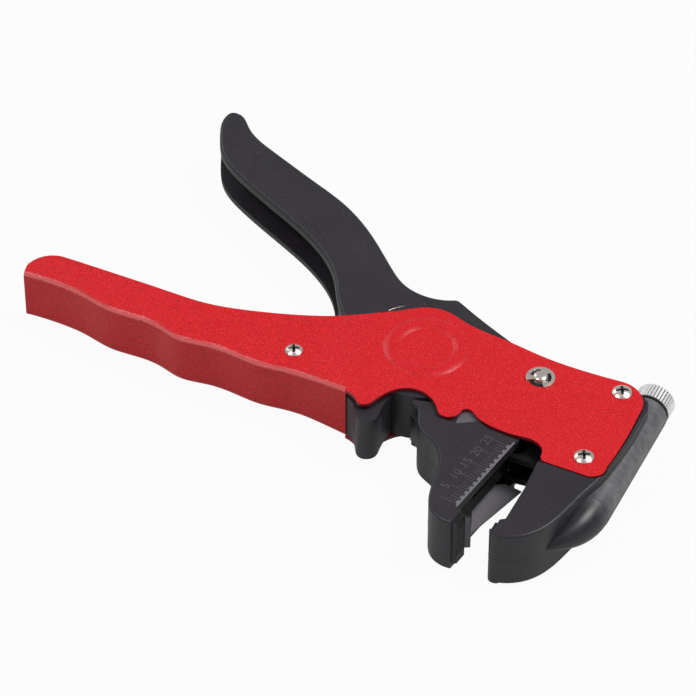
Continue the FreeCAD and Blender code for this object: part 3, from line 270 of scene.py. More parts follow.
def make_brush_group():
    """Fine parallel lines on drawn or ground steel, along one direction of the piece."""
    group, start, end = node_group(
        "brushed", [("Line Scale", 5000.0), ("Stretch", 0.03)],
        [("Lines", "NodeSocketFloat")])
    where = add(group, "ShaderNodeTexCoord", (-1200, 0)).outputs["Object"]
    stretch = vector_of(group, 1.0, start.outputs["Stretch"], 1.0, (-1000, -200))
    scaled = vector_node(group, "MULTIPLY", (-800, 0), where, stretch).outputs[0]
    lines = noise(group, scaled, start.outputs["Line Scale"], 2.0, 0.5, (-400, 0))
    group.links.new(lines, end.inputs["Lines"])


# Materials

# What the coat turns to in its grains, darker on the sheared edges, and as a painted highlight
# along the bend.
COAT_GRAIN = (0.92, 0.16, 0.17, 1.0)
COAT_CUT = (0.085, 0.010, 0.016, 1.0)
COAT_BEND_HIGHLIGHT = (1.0, 0.24, 0.23, 1.0)
# What the plastic turns to in its grains, and along the barrel where it is scuffed and carries a
# painted highlight.
PLASTIC_GRAIN = (0.22, 0.19, 0.24, 1.0)
PLASTIC_SCUFF_AND_HIGHLIGHT = (0.28, 0.28, 0.285, 1.0)


class Finish:
    """One material under way: its tree, its surface shader and the shared groups in it."""

    def __init__(self, name, colour):
        self.material = bpy.data.materials.new(name)
        self.material.use_nodes = True
        self.material.diffuse_color = colour
        self.tree = self.material.node_tree
        self.surface = self.tree.nodes["Principled BSDF"]

    def group(self, name, at, **inputs):
        node = add(self.tree, "ShaderNodeGroup", at, node_tree=bpy.data.node_groups[name])
        for key, value in inputs.items():
            node.inputs[key.replace("_", " ")].default_value = value
        return node

    def bump(self, height, strength, distance, at):
        node = add(self.tree, "ShaderNodeBump", at)
        node.inputs["Strength"].default_value = strength
        node.inputs["Distance"].default_value = distance
        self.tree.links.new(height, node.inputs["Height"])
        self.feed("Normal", node.outputs[0])

    def feed(self, socket, value):
        give(self.tree, self.surface.inputs[socket], value)


def axis_part(tree, output, axis, at):
    """One coordinate of a point's place on the piece, or of its normal, as the output says."""
    where = add(tree, "ShaderNodeTexCoord", at)
    parts = add(tree, "ShaderNodeSeparateXYZ", (at[0] + 200, at[1]))
    tree.links.new(where.outputs[output], parts.inputs[0])
    return parts.outputs[axis]


def cut_edges(tree):
    """One on the sheared edges of the plates, to the right of the folded web, and nought else."""
    upward = axis_part(tree, "Normal", "Z", (-1400, 800))
    level = math_node(tree, "ABSOLUTE", upward, 0.0, (-1000, 800))
    upright = math_node(tree, "LESS_THAN", level, 0.5, (-800, 800))
    along = axis_part(tree, "Object", "X", (-1400, 600))
    beyond = math_node(tree, "GREATER_THAN", along, place(WEB_END, 0, 0).x, (-1000, 600))
    return math_node(tree, "MULTIPLY", upright, beyond, (-600, 700))


def bend_share(tree):
    """Painted highlight mask: one where the sheet's bend leans half way from plate to web, less to
    each side.
    """
    upward = axis_part(tree, "Normal", "Z", (-1400, 1100))
    off = math_node(tree, "SUBTRACT", upward, 0.45, (-1000, 1100))
    span = math_node(tree, "ABSOLUTE", off, 0.0, (-800, 1100))
    near = math_node(tree, "MULTIPLY", span, 2.4, (-600, 1100))
    return math_node(tree, "SUBTRACT", 1.0, near, (-400, 1100), clamp=True)


def powder_coat(name, colour, fleck):
    """Red powder coat: an orange peel skin with a dense fine sparkle."""
    finish = Finish(name, colour)
    tree = finish.tree
    specks = finish.group("fleck", (-700, 100), Grain_Scale=3500.0, Contrast=4.2, Sparse=0.61)
    wear = finish.group("handling", (-700, -200), Patch_Scale=45.0, Amount=0.10)
    dark = [c * 0.66 for c in colour[:3]] + [1.0]
    light = [min(1.0, c * 1.25 + 0.008) for c in colour[:3]] + [1.0]
    base = mixed(tree, specks.outputs["Factor"], dark, light, (-450, 250))
    sparkle = math_node(tree, "MULTIPLY", specks.outputs["Grains"], fleck, (-450, 0))
    base = mixed(tree, sparkle, base, COAT_GRAIN, (-250, 250))
    # Darker red on the sheared edges of the plates.
    cut_darkening = math_node(tree, "MULTIPLY", cut_edges(tree), 0.75, (-300, 600))
    base = mixed(tree, cut_darkening, base, COAT_CUT, (-100, 400))
    # A painted highlight, pale pink, along the bend between the plate and the web.
    bend = math_node(tree, "MULTIPLY", bend_share(tree), 0.85, (-300, 900))
    base = mixed(tree, bend, base, COAT_BEND_HIGHLIGHT, (50, 500))
    finish.feed("Base Color", scaled_colour(tree, base, wear.outputs["Shade"], (-50, 250)))
    uneven = math_node(tree, "ADD", wear.outputs["Roughness"], 0.42, (-250, -200))
    finish.feed("Roughness", uneven)
    finish.feed("Specular IOR Level", 0.2)
    finish.feed("Coat Weight", 0.42)
    finish.feed("Coat Roughness", 0.27)
    finish.bump(specks.outputs["Height"], 0.25, 0.0001, (-250, -400))
    return finish.material


def moulded_plastic(name, colour, grain=2200.0, rough=0.42):
    """Black glass filled plastic with a fine grain and pale specks."""
    finish = Finish(name, colour)
    tree = finish.tree
    specks = finish.group("fleck", (-700, 100), Grain_Scale=grain, Contrast=1.3, Sparse=0.66)
    wear = finish.group("handling", (-700, -200), Patch_Scale=70.0, Amount=0.25)
    dark = [c * 0.7 for c in colour[:3]] + [1.0]
    light = [c * 1.45 for c in colour[:3]] + [1.0]
    base = mixed(tree, specks.outputs["Factor"], dark, light, (-450, 250))
    faint = math_node(tree, "MULTIPLY", specks.outputs["Grains"], 0.12, (-450, 0))
    base = mixed(tree, faint, base, PLASTIC_GRAIN, (-250, 250))
    finish.feed("Base Color", scaled_colour(tree, base, wear.outputs["Shade"], (-50, 250)))
    uneven = math_node(tree, "ADD", wear.outputs["Roughness"], rough, (-250, -200))
    finish.feed("Roughness", uneven)
    finish.feed("Specular IOR Level", 0.5)
    finish.bump(specks.outputs["Height"], 0.30, 0.0001, (-250, -400))
    return finish.material


def bare_metal(name, colour, rough, brushed=True, metallic=1.0):
    """Steel, nickel or brass with fine lines or a tumbled skin."""
    finish = Finish(name, colour)
    tree = finish.tree
    wear = finish.group("handling", (-700, -200), Patch_Scale=260.0, Amount=0.10)
    plain = add(tree, "ShaderNodeRGB", (-900, 300)).outputs[0]
    plain.default_value = colour
    finish.feed("Base Color", scaled_colour(tree, plain, wear.outputs["Shade"], (-50, 250)))
    finish.feed("Metallic", metallic)
    kind, output = ("brushed", "Lines") if brushed else ("fleck", "Height")
    grain = finish.group(kind, (-700, -500)).outputs[output]
    uneven = math_node(tree, "ADD", wear.outputs["Roughness"], rough, (-450, -200))
    lift = math_node(tree, "MULTIPLY", grain, 0.12, (-450, -400))
    finish.feed("Roughness", math_node(tree, "ADD", uneven, lift, (-250, -200)))
    finish.bump(grain, 0.12, 0.00003, (-250, -500))
    return finish.material


def from_barrel(tree, at):
    """Distance from the barrel's axis, the way from the axis's top, and the place itself."""
    where = add(tree, "ShaderNodeTexCoord", at).outputs["Object"]
    top = place(*BARREL_TOP)
    away = vector_node(tree, "SUBTRACT", (at[0] + 200, at[1]), where, top).outputs[0]
    off = vector_node(tree, "CROSS_PRODUCT", (at[0] + 400, at[1]), away, BARREL_WAY).outputs[0]
    distance = vector_node(tree, "LENGTH", (at[0] + 600, at[1]), off).outputs["Value"]
    return distance, away, where


def knurled_nickel(name, colour):
    """Dull nickel, darker in the grooves between the crests of the knob's teeth as painted shade.
    """
    material = bare_metal(name, colour, 0.40, brushed=False, metallic=0.45)
    tree = material.node_tree
    base = tree.nodes["Principled BSDF"].inputs["Base Color"]
    distance = from_barrel(tree, (-1400, 1200))[0]
    # Painted shade: the colour darkens towards the bottom of each groove.
    above = math_node(tree, "SUBTRACT", distance, KNOB_CREST - KNOB_DEPTH, (-600, 1200))
    unshaded_share = math_node(tree, "DIVIDE", above, KNOB_DEPTH * 0.8, (-400, 1200), clamp=True)
    shade = math_node(tree, "MULTIPLY_ADD", unshaded_share, 0.86, (-200, 1200), third=0.14)
    tree.links.new(scaled_colour(tree, base.links[0].from_socket, shade, (100, 1000)), base)
    return material


def scuffed_plastic(name, colour):
    """The mouldings' plastic, paler along the barrel from scuffs and a painted highlight, fading
    out beyond it.
    """
    material = moulded_plastic(name, colour, rough=0.36)
    tree = material.node_tree
    base = tree.nodes["Principled BSDF"].inputs["Base Color"]
    distance, away, where = from_barrel(tree, (-1400, 700))
    ratio = math_node(tree, "DIVIDE", distance, BARREL_RADIUS, (-600, 700))
    inside = math_node(tree, "SUBTRACT", 1.12, ratio, (-450, 700))
    near = math_node(tree, "MULTIPLY", inside, 12.0, (-300, 700), clamp=True)
    down = vector_node(tree, "DOT_PRODUCT", (-1000, 900), away, BARREL_WAY).outputs["Value"]
    left = math_node(tree, "ADD", down, SCUFF_AND_HIGHLIGHT_LENGTH, (-800, 900))
    upper = math_node(tree, "MULTIPLY", left, 110.0, (-600, 900), clamp=True)
    along = math_node(tree, "MULTIPLY", near, upper, (-300, 900))
    patches = noise(tree, where, 420.0, 4.0, 0.7, (-600, 500))
    # Scuffs and a painted highlight share one mottled mask along the barrel.
    scuff_and_highlight = math_node(tree, "MULTIPLY", patches, along, (-150, 600))
    was = base.links[0].from_socket
    tree.links.new(mixed(tree, scuff_and_highlight, was, PLASTIC_SCUFF_AND_HIGHLIGHT, (150, 500)), base)
    return material


# Pieces

def scene_object(name, data):
    """A new object, linked to the scene."""
    made = bpy.data.objects.new(name, data)
    bpy.context.scene.collection.objects.link(made)
    return made


def node_tree(name, inputs):
    """A geometry tree with named inputs, and its two end nodes."""
    tree = bpy.data.node_groups.new(name, "GeometryNodeTree")
    for label, kind, value in inputs:
        socket = tree.interface.new_socket(label, in_out="INPUT", socket_type=kind)
        if value is not None:
            socket.default_value = value
    tree.interface.new_socket("Geometry", in_out="OUTPUT", socket_type="NodeSocketGeometry")
    return tree, tree.nodes.new("NodeGroupInput"), tree.nodes.new("NodeGroupOutput")


def make_shade_tree():
    """Smooth faces, with the edges over an angle marked as sharp."""
    tree, start, end = node_tree("shade_by_angle", [
        ("Geometry", "NodeSocketGeometry", None),
        ("Angle", "NodeSocketFloat", math.radians(35.0))])
    link = tree.links.new
    edge = tree.nodes.new("GeometryNodeInputMeshEdgeAngle")
    over = tree.nodes.new("FunctionNodeCompare")
    over.data_type, over.operation = "FLOAT", "LESS_EQUAL"
    link(edge.outputs["Unsigned Angle"], over.inputs["A"])
    link(start.outputs["Angle"], over.inputs["B"])
    faces = tree.nodes.new("GeometryNodeSetShadeSmooth")
    faces.domain = "FACE"
    edges = tree.nodes.new("GeometryNodeSetShadeSmooth")
    edges.domain = "EDGE"
    link(start.outputs["Geometry"], faces.inputs["Geometry"])
    link(faces.outputs["Geometry"], edges.inputs["Geometry"])
    link(over.outputs["Result"], edges.inputs["Shade Smooth"])
    link(edges.outputs["Geometry"], end.inputs["Geometry"])


def smooth_shade(piece, angle):
    """Smooth faces with sharp edges kept, by a live modifier."""
    for face in piece.data.polygons:
        face.use_smooth = True
    tree = bpy.data.node_groups["shade_by_angle"]
    step = piece.modifiers.new("shade", "NODES")
    step.node_group = tree
    step[tree.interface.items_tree["Angle"].identifier] = math.radians(angle)


def round_edges(piece, width, angle):
    """Rounds the edges over an angle by a live modifier."""
    edges = piece.modifiers.new("edges", "BEVEL")
    edges.width = width
    edges.segments = 2
    edges.limit_method = "ANGLE"
    edges.angle_limit = math.radians(angle)


def dress(nodes, material, round_by=0.0, shade_by=35.0):
    """Gives CAD nodes a finish, and rounds their sharp edges if a width is given."""
    for name in nodes:
        node = frame["nodes"][name]
        node.data.materials.clear()
        node.data.materials.append(material)
        if round_by > 0.0:
            weld = node.modifiers.new("join", "WELD")
            weld.merge_threshold = 0.000001
            flat = node.modifiers.new("flats", "DECIMATE")
            flat.decimate_type = "DISSOLVE"
            flat.angle_limit = math.radians(0.6)
            round_edges(node, round_by, 35.0)
        smooth_shade(node, shade_by)
        if round_by > 0.0:
            even = node.modifiers.new("even", "WEIGHTED_NORMAL")
            even.keep_sharp = True


def new_piece(name, mesh, body, material):
    """Adds a finished mesh as a piece that rides on a body."""
    piece = scene_object(name, mesh)
    if material.name not in [m.name for m in mesh.materials if m]:
        mesh.materials.clear()
        mesh.materials.append(material)
    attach(piece, body)
    return piece


class WIRESTRIPPER_OT_groups(bpy.types.Operator):
    """Build the node groups that the finishes and the pieces share"""
    bl_idname = "wirestripper.groups"
    bl_label = "Node Groups"

    def execute(self, context):
        make_fleck_group()
        make_wear_group()
        make_brush_group()
        make_shade_tree()
        return {"FINISHED"}


class WIRESTRIPPER_OT_shell(bpy.types.Operator):
    """Coat the folded steel shell"""
    bl_idname = "wirestripper.shell"
    bl_label = "Coated Shell"

    def execute(self, context):
        settings = context.scene.stripper_finish
        coat = powder_coat("red_powder_coat", tuple(settings.coat_colour), settings.coat_fleck)
        dress(["body_shell"], coat, 0.00016, shade_by=16.0)
        return {"FINISHED"}


class WIRESTRIPPER_OT_mouldings(bpy.types.Operator):
    """Finish the moulded lever and jaws and round their edges"""
    bl_idname = "wirestripper.mouldings"
    bl_label = "Lever and Jaws"

    def execute(self, context):
        colour = tuple(context.scene.stripper_finish.plastic_colour)
        round_by = context.scene.stripper_detail.edge_round
        plastic = moulded_plastic("black_plastic", colour)
        dress(["lever", "moving_jaw"], plastic, round_by)
        dress(["fixed_jaw"], scuffed_plastic("scuffed_plastic", colour), round_by)
        return {"FINISHED"}


class WIRESTRIPPER_OT_metal(bpy.types.Operator):
    """Finish the screws, pins, plates, blades, knob and spring"""
    bl_idname = "wirestripper.metal"
    bl_label = "Metal Parts"

    def execute(self, context):
        colours = context.scene.stripper_finish
        nickel = bare_metal("nickel_plate", tuple(colours.nickel_colour), 0.20, brushed=False,
                            metallic=0.78)
        steel = bare_metal("rolled_steel", tuple(colours.steel_colour), 0.34)
        blade = bare_metal("ground_steel", (0.13, 0.125, 0.135, 1.0), 0.34)
        brass = bare_metal("turned_brass", tuple(colours.brass_colour), 0.25)
        pads = bare_metal("blackened_steel", tuple(colours.grip_colour), 0.40, brushed=False)
        dark = bare_metal("dark_steel", tuple(colours.dark_steel_colour), 0.46)
        satin = bare_metal("satin_steel", tuple(colours.satin_colour), 0.52, metallic=0.3)
        knob = knurled_nickel("dull_nickel", tuple(colours.knob_colour))
        # The guide plate's steel is a lighter copy of the satin plates': painted light against the
        # shade that falls on it.
        lightened_guide = bare_metal("guide_steel_painted_light", (0.27, 0.255, 0.28, 1.0), 0.5, metallic=0.2)
        own = {"jaw_side_plates": satin, "jaw_guide_plate": lightened_guide, "adjust_knob": knob}
        by_slot = {"nickel": nickel, "steel": steel, "blade_steel": blade, "brass": brass,
                   "dark_grip": pads, "dark_steel": dark}
        for row in frame["record"]["subparts"]:
            if row["material_slot"] in by_slot:
                dress([row["node"]], own.get(row["node"], by_slot[row["material_slot"]]))
        return {"FINISHED"}


# Scale and mould marks

# The scale's edge on the moving jaw, from the blades inwards, on the jaw's upper face.
SCALE_START = (24.75, -54.85)
SCALE_END = (32.4, -27.7)
JAW_FACE = 17.4
# In metres: how far in from the edge the marks start and the numbers' middles are, the reach of
# a tooth, and the strip's length and width. The teeth and the strip rise this many times as high
# as the marks.
MARK_INSET = 0.0013
NUMBER_INSET = MARK_INSET + 0.0052
TOOTH_REACH = 0.00062
STRIP_LENGTH = 0.0278
STRIP_WIDTH = 0.00055
STRIP_SHARE = 1.4


def scale_frame(along, across):
    """A matrix at a place on the scale: its X runs along the edge, its Y away from the mouth."""
    start, end = place(*SCALE_START, JAW_FACE), place(*SCALE_END, JAW_FACE)
    x = (end - start).normalized()
    z = Vector((0.0, 0.0, 1.0))
    y = z.cross(x)
    at = start + x * along + y * across
    return Matrix.Translation(at) @ Matrix((x, y, z)).transposed().to_4x4()


def end_tree(tree, geometry, start, end):
    """Ends a geometry tree with real geometry in the material that it is given."""
    real = tree.nodes.new("GeometryNodeRealizeInstances")
    tree.links.new(geometry, real.inputs["Geometry"])
    finish = tree.nodes.new("GeometryNodeSetMaterial")
    tree.links.new(real.outputs["Geometry"], finish.inputs["Geometry"])
    tree.links.new(start.outputs["Material"], finish.inputs["Material"])
    tree.links.new(finish.outputs["Geometry"], end.inputs["Geometry"])
    return tree


def make_row_tree():
    """Bars in a row along X that stand out along Y, with a longer one at every so many."""
    tree, start, end = node_tree("bar_row", [
        ("Count", "NodeSocketInt", 10), ("Pitch", "NodeSocketFloat", 0.001),
        ("Width", "NodeSocketFloat", 0.0002), ("Short", "NodeSocketFloat", 0.002),
        ("Long", "NodeSocketFloat", 0.004), ("Every", "NodeSocketInt", 5),
        ("Rise", "NodeSocketFloat", 0.0001), ("Material", "NodeSocketMaterial", None)])
    link = tree.links.new
    row = tree.nodes.new("GeometryNodeMeshLine")
    link(start.outputs["Count"], row.inputs["Count"])
    link(vector_of(tree, x=start.outputs["Pitch"]), row.inputs["Offset"])
    bar = tree.nodes.new("GeometryNodeMeshCube")
    bar.inputs["Size"].default_value = (1.0, 1.0, 1.0)
    foot = tree.nodes.new("GeometryNodeTransform")
    foot.inputs["Translation"].default_value = (0.0, 0.5, 0.0)
    link(bar.outputs["Mesh"], foot.inputs["Geometry"])
    number = tree.nodes.new("GeometryNodeInputIndex")
    over = math_node(tree, "MODULO", number.outputs[0], start.outputs["Every"])
    first = tree.nodes.new("FunctionNodeCompare")
    first.data_type, first.operation = "FLOAT", "LESS_THAN"
    link(over, first.inputs["A"])
    first.inputs["B"].default_value = 0.5
    reach = tree.nodes.new("GeometryNodeSwitch")
    reach.input_type = "FLOAT"
    link(first.outputs["Result"], reach.inputs["Switch"])
    link(start.outputs["Short"], reach.inputs["False"])
    link(start.outputs["Long"], reach.inputs["True"])
    size = vector_of(tree, start.outputs["Width"], reach.outputs[0], start.outputs["Rise"])
    copies = tree.nodes.new("GeometryNodeInstanceOnPoints")
    link(row.outputs["Mesh"], copies.inputs["Points"])
    link(foot.outputs["Geometry"], copies.inputs["Instance"])
    link(size, copies.inputs["Scale"])
    return end_tree(tree, copies.outputs["Instances"], start, end)


def make_seam_tree():
    """A fine bead along the edges of a mesh."""
    tree, start, end = node_tree("seam_bead", [
        ("Geometry", "NodeSocketGeometry", None), ("Rise", "NodeSocketFloat", 0.0001),
        ("Material", "NodeSocketMaterial", None)])
    link = tree.links.new
    line = tree.nodes.new("GeometryNodeMeshToCurve")
    link(start.outputs["Geometry"], line.inputs["Mesh"])
    ring = tree.nodes.new("GeometryNodeCurvePrimitiveCircle")
    ring.inputs["Resolution"].default_value = 6
    link(start.outputs["Rise"], ring.inputs["Radius"])
    bead = tree.nodes.new("GeometryNodeCurveToMesh")
    link(line.outputs["Curve"], bead.inputs["Curve"])
    link(ring.outputs["Curve"], bead.inputs["Profile Curve"])
    smooth = tree.nodes.new("GeometryNodeSetShadeSmooth")
    link(bead.outputs["Mesh"], smooth.inputs["Geometry"])
    return end_tree(tree, smooth.outputs["Geometry"], start, end)


def baked(source):
    """The plain mesh that an object comes to; the object itself is taken away."""
    made = bpy.data.meshes.new_from_object(
        source.evaluated_get(bpy.context.evaluated_depsgraph_get()))
    bpy.data.objects.remove(source)
    return made


def grown(tree, base=None, **inputs):
    """The plain mesh that a geometry tree makes of a base mesh and the given inputs."""
    source = scene_object("source", base or bpy.data.meshes.new("source"))
    step = source.modifiers.new("grow", "NODES")
    step.node_group = tree
    for item in tree.interface.items_tree:
        if item.in_out == "INPUT" and item.name in inputs:
            step[item.identifier] = inputs[item.name]
    return baked(source)


def joined_mesh(name, parts):
    """One mesh out of several meshes, each put in place by its own matrix."""
    whole = bmesh.new()
    for mesh, matrix in parts:
        mesh.transform(matrix)
        whole.from_mesh(mesh)
    made = bpy.data.meshes.new(name)
    whole.to_mesh(made)
    whole.free()
    return made


def number_mesh(text, height):
    """A number's solid digits in their own plan, with their middle at nought."""
    letters = bpy.data.curves.new("number", "FONT")
    letters.body = text
    # A font's size is about 1.4 times the height of its digits.
    letters.size = height * 1.4
    letters.align_x, letters.align_y = "CENTER", "CENTER"
    letters.extrude = 0.00004
    letters.resolution_u = 3
    return baked(scene_object("number", letters))


class WIRESTRIPPER_OT_scale(bpy.types.Operator):
    """Mould the length scale along the moving jaw's edge"""
    bl_idname = "wirestripper.scale"
    bl_label = "Jaw Scale"

    def execute(self, context):
        detail = context.scene.stripper_detail
        rise = detail.mark_rise
        # The marks and numbers are moulded; their lighter grey is a painted sheen on their edges.
        marks = moulded_plastic("scale_marks", (0.075, 0.068, 0.076, 1.0), 2600.0, 0.36)
        # The strip and its teeth are pale as a painted highlight on the edge's chamfer; the teeth
        # stand for its moulded notches.
        edge_highlight_band = moulded_plastic("scale_edge_highlight", (0.17, 0.16, 0.172, 1.0), 2600.0, 0.34)
        tree = make_row_tree()
        ticks = grown(tree, Count=detail.tick_count, Pitch=detail.tick_pitch,
                      Width=detail.tick_width, Short=detail.tick_short, Long=detail.tick_long,
                      Every=5, Rise=rise, Material=marks)
        parts = [(ticks, scale_frame(0.001, MARK_INSET))]
        for number in range(5, 26, 5):
            at = scale_frame(number * detail.tick_pitch, NUMBER_INSET)
            parts.append((number_mesh(str(number), detail.digit_height), at))
        new_piece("scale_marks", joined_mesh("scale_marks", parts), "moving_jaw", marks)
        count = int(detail.tick_count * detail.tick_pitch / detail.tooth_pitch)
        teeth = grown(tree, Count=count, Pitch=detail.tooth_pitch,
                      Width=detail.tooth_pitch * 0.62, Short=TOOTH_REACH, Long=TOOTH_REACH,
                      Every=1, Rise=rise * STRIP_SHARE, Material=edge_highlight_band)
        strip = grown(tree, Count=1, Pitch=0.001, Width=STRIP_LENGTH, Short=STRIP_WIDTH,
                      Long=STRIP_WIDTH, Every=1, Rise=rise * STRIP_SHARE, Material=edge_highlight_band)
        parts = [(teeth, scale_frame(0.0018, 0.0005)), (strip, scale_frame(0.0142, -0.00004))]
        new_piece("scale_edge_highlight", joined_mesh("scale_edge_highlight", parts), "moving_jaw", edge_highlight_band)
        return {"FINISHED"}


def outer_side(name, at):
    """Whether a point of a moulding's middle section is on its outside, and not inside it."""
    x, y = at.x / MM - PIVOT.x, at.y / MM - PIVOT.y
    if name == "lever":
        return x < -20.0 or y < -21.0
    if name == "moving_jaw":
        return x < 17.9 and y < -24.5
    return x > 43.2 - 0.1 * y or y < -56.5


def parting_line(name, height):
    """The edges in which the outside of a moulding meets a level plane."""
    section = bmesh.new()
    section.from_mesh(frame["nodes"][name].data)
    bmesh.ops.remove_doubles(section, verts=section.verts, dist=0.000001)
    cut = bmesh.ops.bisect_plane(
        section, geom=section.verts[:] + section.edges[:] + section.faces[:], dist=0.0000001,
        plane_co=(0, 0, height), plane_no=(0, 0, 1))
    edges = [tuple(edge.verts) for edge in cut["geom_cut"] if isinstance(edge, bmesh.types.BMEdge)
             and all(outer_side(name, corner.co) for corner in edge.verts)]
    order = {}
    for edge in edges:
        for corner in edge:
            order.setdefault(corner, len(order))
    line = bpy.data.meshes.new("line")
    line.from_pydata([corner.co.copy() for corner in order],
                     [(order[a], order[b]) for a, b in edges], [])
    section.free()
    return line


class WIRESTRIPPER_OT_seams(bpy.types.Operator):
    """Lay the mould's parting line round the lever and the jaws"""
    bl_idname = "wirestripper.seams"
    bl_label = "Parting Lines"

    def execute(self, context):
        detail = context.scene.stripper_detail
        tree = make_seam_tree()
        plastic = bpy.data.materials["black_plastic"]
        for name in ("lever", "moving_jaw", "fixed_jaw"):
            line = parting_line(name, place(0.0, 0.0, MIDDLE).z)
            bead = grown(tree, line, Rise=detail.seam_rise, Material=plastic)
            new_piece(name + "_seam", bead, name if name != "fixed_jaw" else "frame", plastic)
        return {"FINISHED"}


# Painted shade in the screw recesses, pivot pin and clip, the barrel's root, the spring and the
# painted highlight on the hub's rim

# Where the spring's post stands, which the screw in the handle holds.
POST_PLACE = (-33.2, -11.85)
# Plan places of the heads on each side, the height of the plate below, and the head's radius.
SCREW_HEADS = ((53.75, -1.4, HEAD_TOP, 2.6), (50.7, -27.6, HEAD_TOP, 2.6),
               (*POST_PLACE, HANDLE_TOP, 2.35))
# How far over its plate each cross stands.
CROSS_LIFT = 0.55


def make_cross_tree():
    """A cross of two bars at every point of a mesh, sized by each point's own value."""
    tree, start, end = node_tree("crosses", [
        ("Geometry", "NodeSocketGeometry", None), ("Span", "NodeSocketFloat", 1.2),
        ("Bar", "NodeSocketFloat", 0.28), ("Depth", "NodeSocketFloat", 0.0006),
        ("Turn", "NodeSocketFloat", 0.35), ("Material", "NodeSocketMaterial", None)])
    link = tree.links.new
    both = tree.nodes.new("GeometryNodeJoinGeometry")
    for sides in (("Span", "Bar"), ("Bar", "Span")):
        bar = tree.nodes.new("GeometryNodeMeshCube")
        link(vector_of(tree, start.outputs[sides[0]], start.outputs[sides[1]], 1.0),
             bar.inputs["Size"])
        link(bar.outputs["Mesh"], both.inputs["Geometry"])
    radius = tree.nodes.new("GeometryNodeInputNamedAttribute")
    radius.data_type = "FLOAT"
    radius.inputs["Name"].default_value = "head_radius"
    reach = radius.outputs["Attribute"]
    copies = tree.nodes.new("GeometryNodeInstanceOnPoints")
    link(start.outputs["Geometry"], copies.inputs["Points"])
    link(both.outputs["Geometry"], copies.inputs["Instance"])
    link(vector_of(tree, z=start.outputs["Turn"]), copies.inputs["Rotation"])
    link(vector_of(tree, reach, reach, start.outputs["Depth"]), copies.inputs["Scale"])
    return end_tree(tree, copies.outputs["Instances"], start, end)


class WIRESTRIPPER_OT_recesses(bpy.types.Operator):
    """Paint shade into the crossed recesses of the six screw heads as dark crosses, and into the
    gap round the jaw's pin as a dark ring
    """
    bl_idname = "wirestripper.recesses"
    bl_label = "Screw Recesses"

    def execute(self, context):
        painted_shade = bare_metal("recess_shadow", (0.012, 0.011, 0.010, 1.0), 0.5, metallic=0.2)
        # Dark crosses painted as shade in each screw's recess, on both sides.
        spots, radii = [], []
        for x, y, upper, radius in SCREW_HEADS:
            for z in (upper + CROSS_LIFT, 2 * MIDDLE - upper - CROSS_LIFT):
                spots.append(place(x, y, z))
                radii.append(radius * MM)
        base = bpy.data.meshes.new("heads")
        base.from_pydata(spots, [], [])
        base.attributes.new("head_radius", "FLOAT", "POINT").data.foreach_set("value", radii)
        crosses = grown(make_cross_tree(), base, Span=1.2, Bar=0.27, Depth=0.0007,
                        Turn=math.radians(20.0), Material=painted_shade)
        # A dark ring painted as shade in the gap between the jaw's pin and the plate.
        inner, outer, top = 2.0, 3.2, HEAD_TOP + 0.06
        ring = ((inner, HEAD_TOP), (outer, HEAD_TOP), (outer, top), (inner, top),
                (inner, HEAD_TOP))
        shade = turned_mesh("shade", ring, PIN_PLACE)
        both = joined_mesh("screw_recesses", [(crosses, Matrix()), (shade, Matrix())])
        new_piece("screw_recesses", both, "frame", painted_shade)
        return {"FINISHED"}


# The clip's top, its outer radius, and its inner radius at a lobe and at a window.
CLIP_TOP = 18.3
CLIP_RADIUS = 3.85
CLIP_GRIP = 1.92
CLIP_WINDOW = 2.95
# In degrees: each lobe's middle and half width, how far a lobe takes to run out into a window,
# and the turns at which the clip is drawn, from one end to the other.
CLIP_LOBES = ((-50.0, 17.0), (76.0, 20.0), (202.0, 17.0))
CLIP_EASE = 9.0
CLIP_TURNS = range(-62, 215, 3)
# The pivot pin's turned outline, radius and height above the lower plate's face.
PIN_OUTLINE = ((0.0, -1.3), (3.0, -1.3), (3.45, -1.15), (3.7, -0.8), (3.7, 0.0), (2.5, 0.0),
               (2.5, 17.55), (1.9, HEAD_TOP), (1.9, CLIP_TOP), (1.75, CLIP_TOP), (1.85, 18.42),
               (1.8, 18.75), (1.45, 19.02), (0.8, 19.12), (0.0, 19.18))
PIN_PLACE = (32.0, -2.8)


def lofted(name, rings, capped=True):
    """A solid through rings of points, with its doubles merged and its faces turned outwards."""
    points, loops = [], []
    for ring in rings:
        loops.append(range(len(points), len(points) + len(ring)))
        points.extend(ring)
    faces = [tuple(loops[0]), tuple(loops[-1])] if capped else []
    for low, high in zip(loops, loops[1:]):
        count = max(len(low), len(high))
        for i in range(count):
            j = (i + 1) % count
            corners = (low[i % len(low)], low[j % len(low)], high[j % len(high)],
                       high[i % len(high)])
            faces.append(tuple(dict.fromkeys(corners)))
    mesh = bpy.data.meshes.new(name)
    mesh.from_pydata(points, [], faces)
    shape = bmesh.new()
    shape.from_mesh(mesh)
    bmesh.ops.remove_doubles(shape, verts=shape.verts, dist=0.0000001)
    bmesh.ops.recalc_face_normals(shape, faces=shape.faces)
    shape.to_mesh(mesh)
    shape.free()
    return mesh


def turned_mesh(name, outline, at, turns=48):
    """A turned solid from radii and heights; a radius of nought is a point on the axis."""
    rings = []
    for radius, z in outline:
        angles = [2 * math.pi * i / turns for i in range(turns if radius else 1)]
        rings.append([place(at[0] + radius * math.cos(angle), at[1] + radius * math.sin(angle), z)
                      for angle in angles])
    return lofted(name, rings, capped=False)


def clip_inside(turn):
    """The clip's inner radius at a turn in degrees: three lobes grip the pin, two windows open."""
    near = min(max(0.0, abs((turn - middle + 180.0) % 360.0 - 180.0) - half)
               for middle, half in CLIP_LOBES)
    share = min(1.0, near / CLIP_EASE)
    return CLIP_GRIP + (CLIP_WINDOW - CLIP_GRIP) * share * share * (3.0 - 2.0 * share)


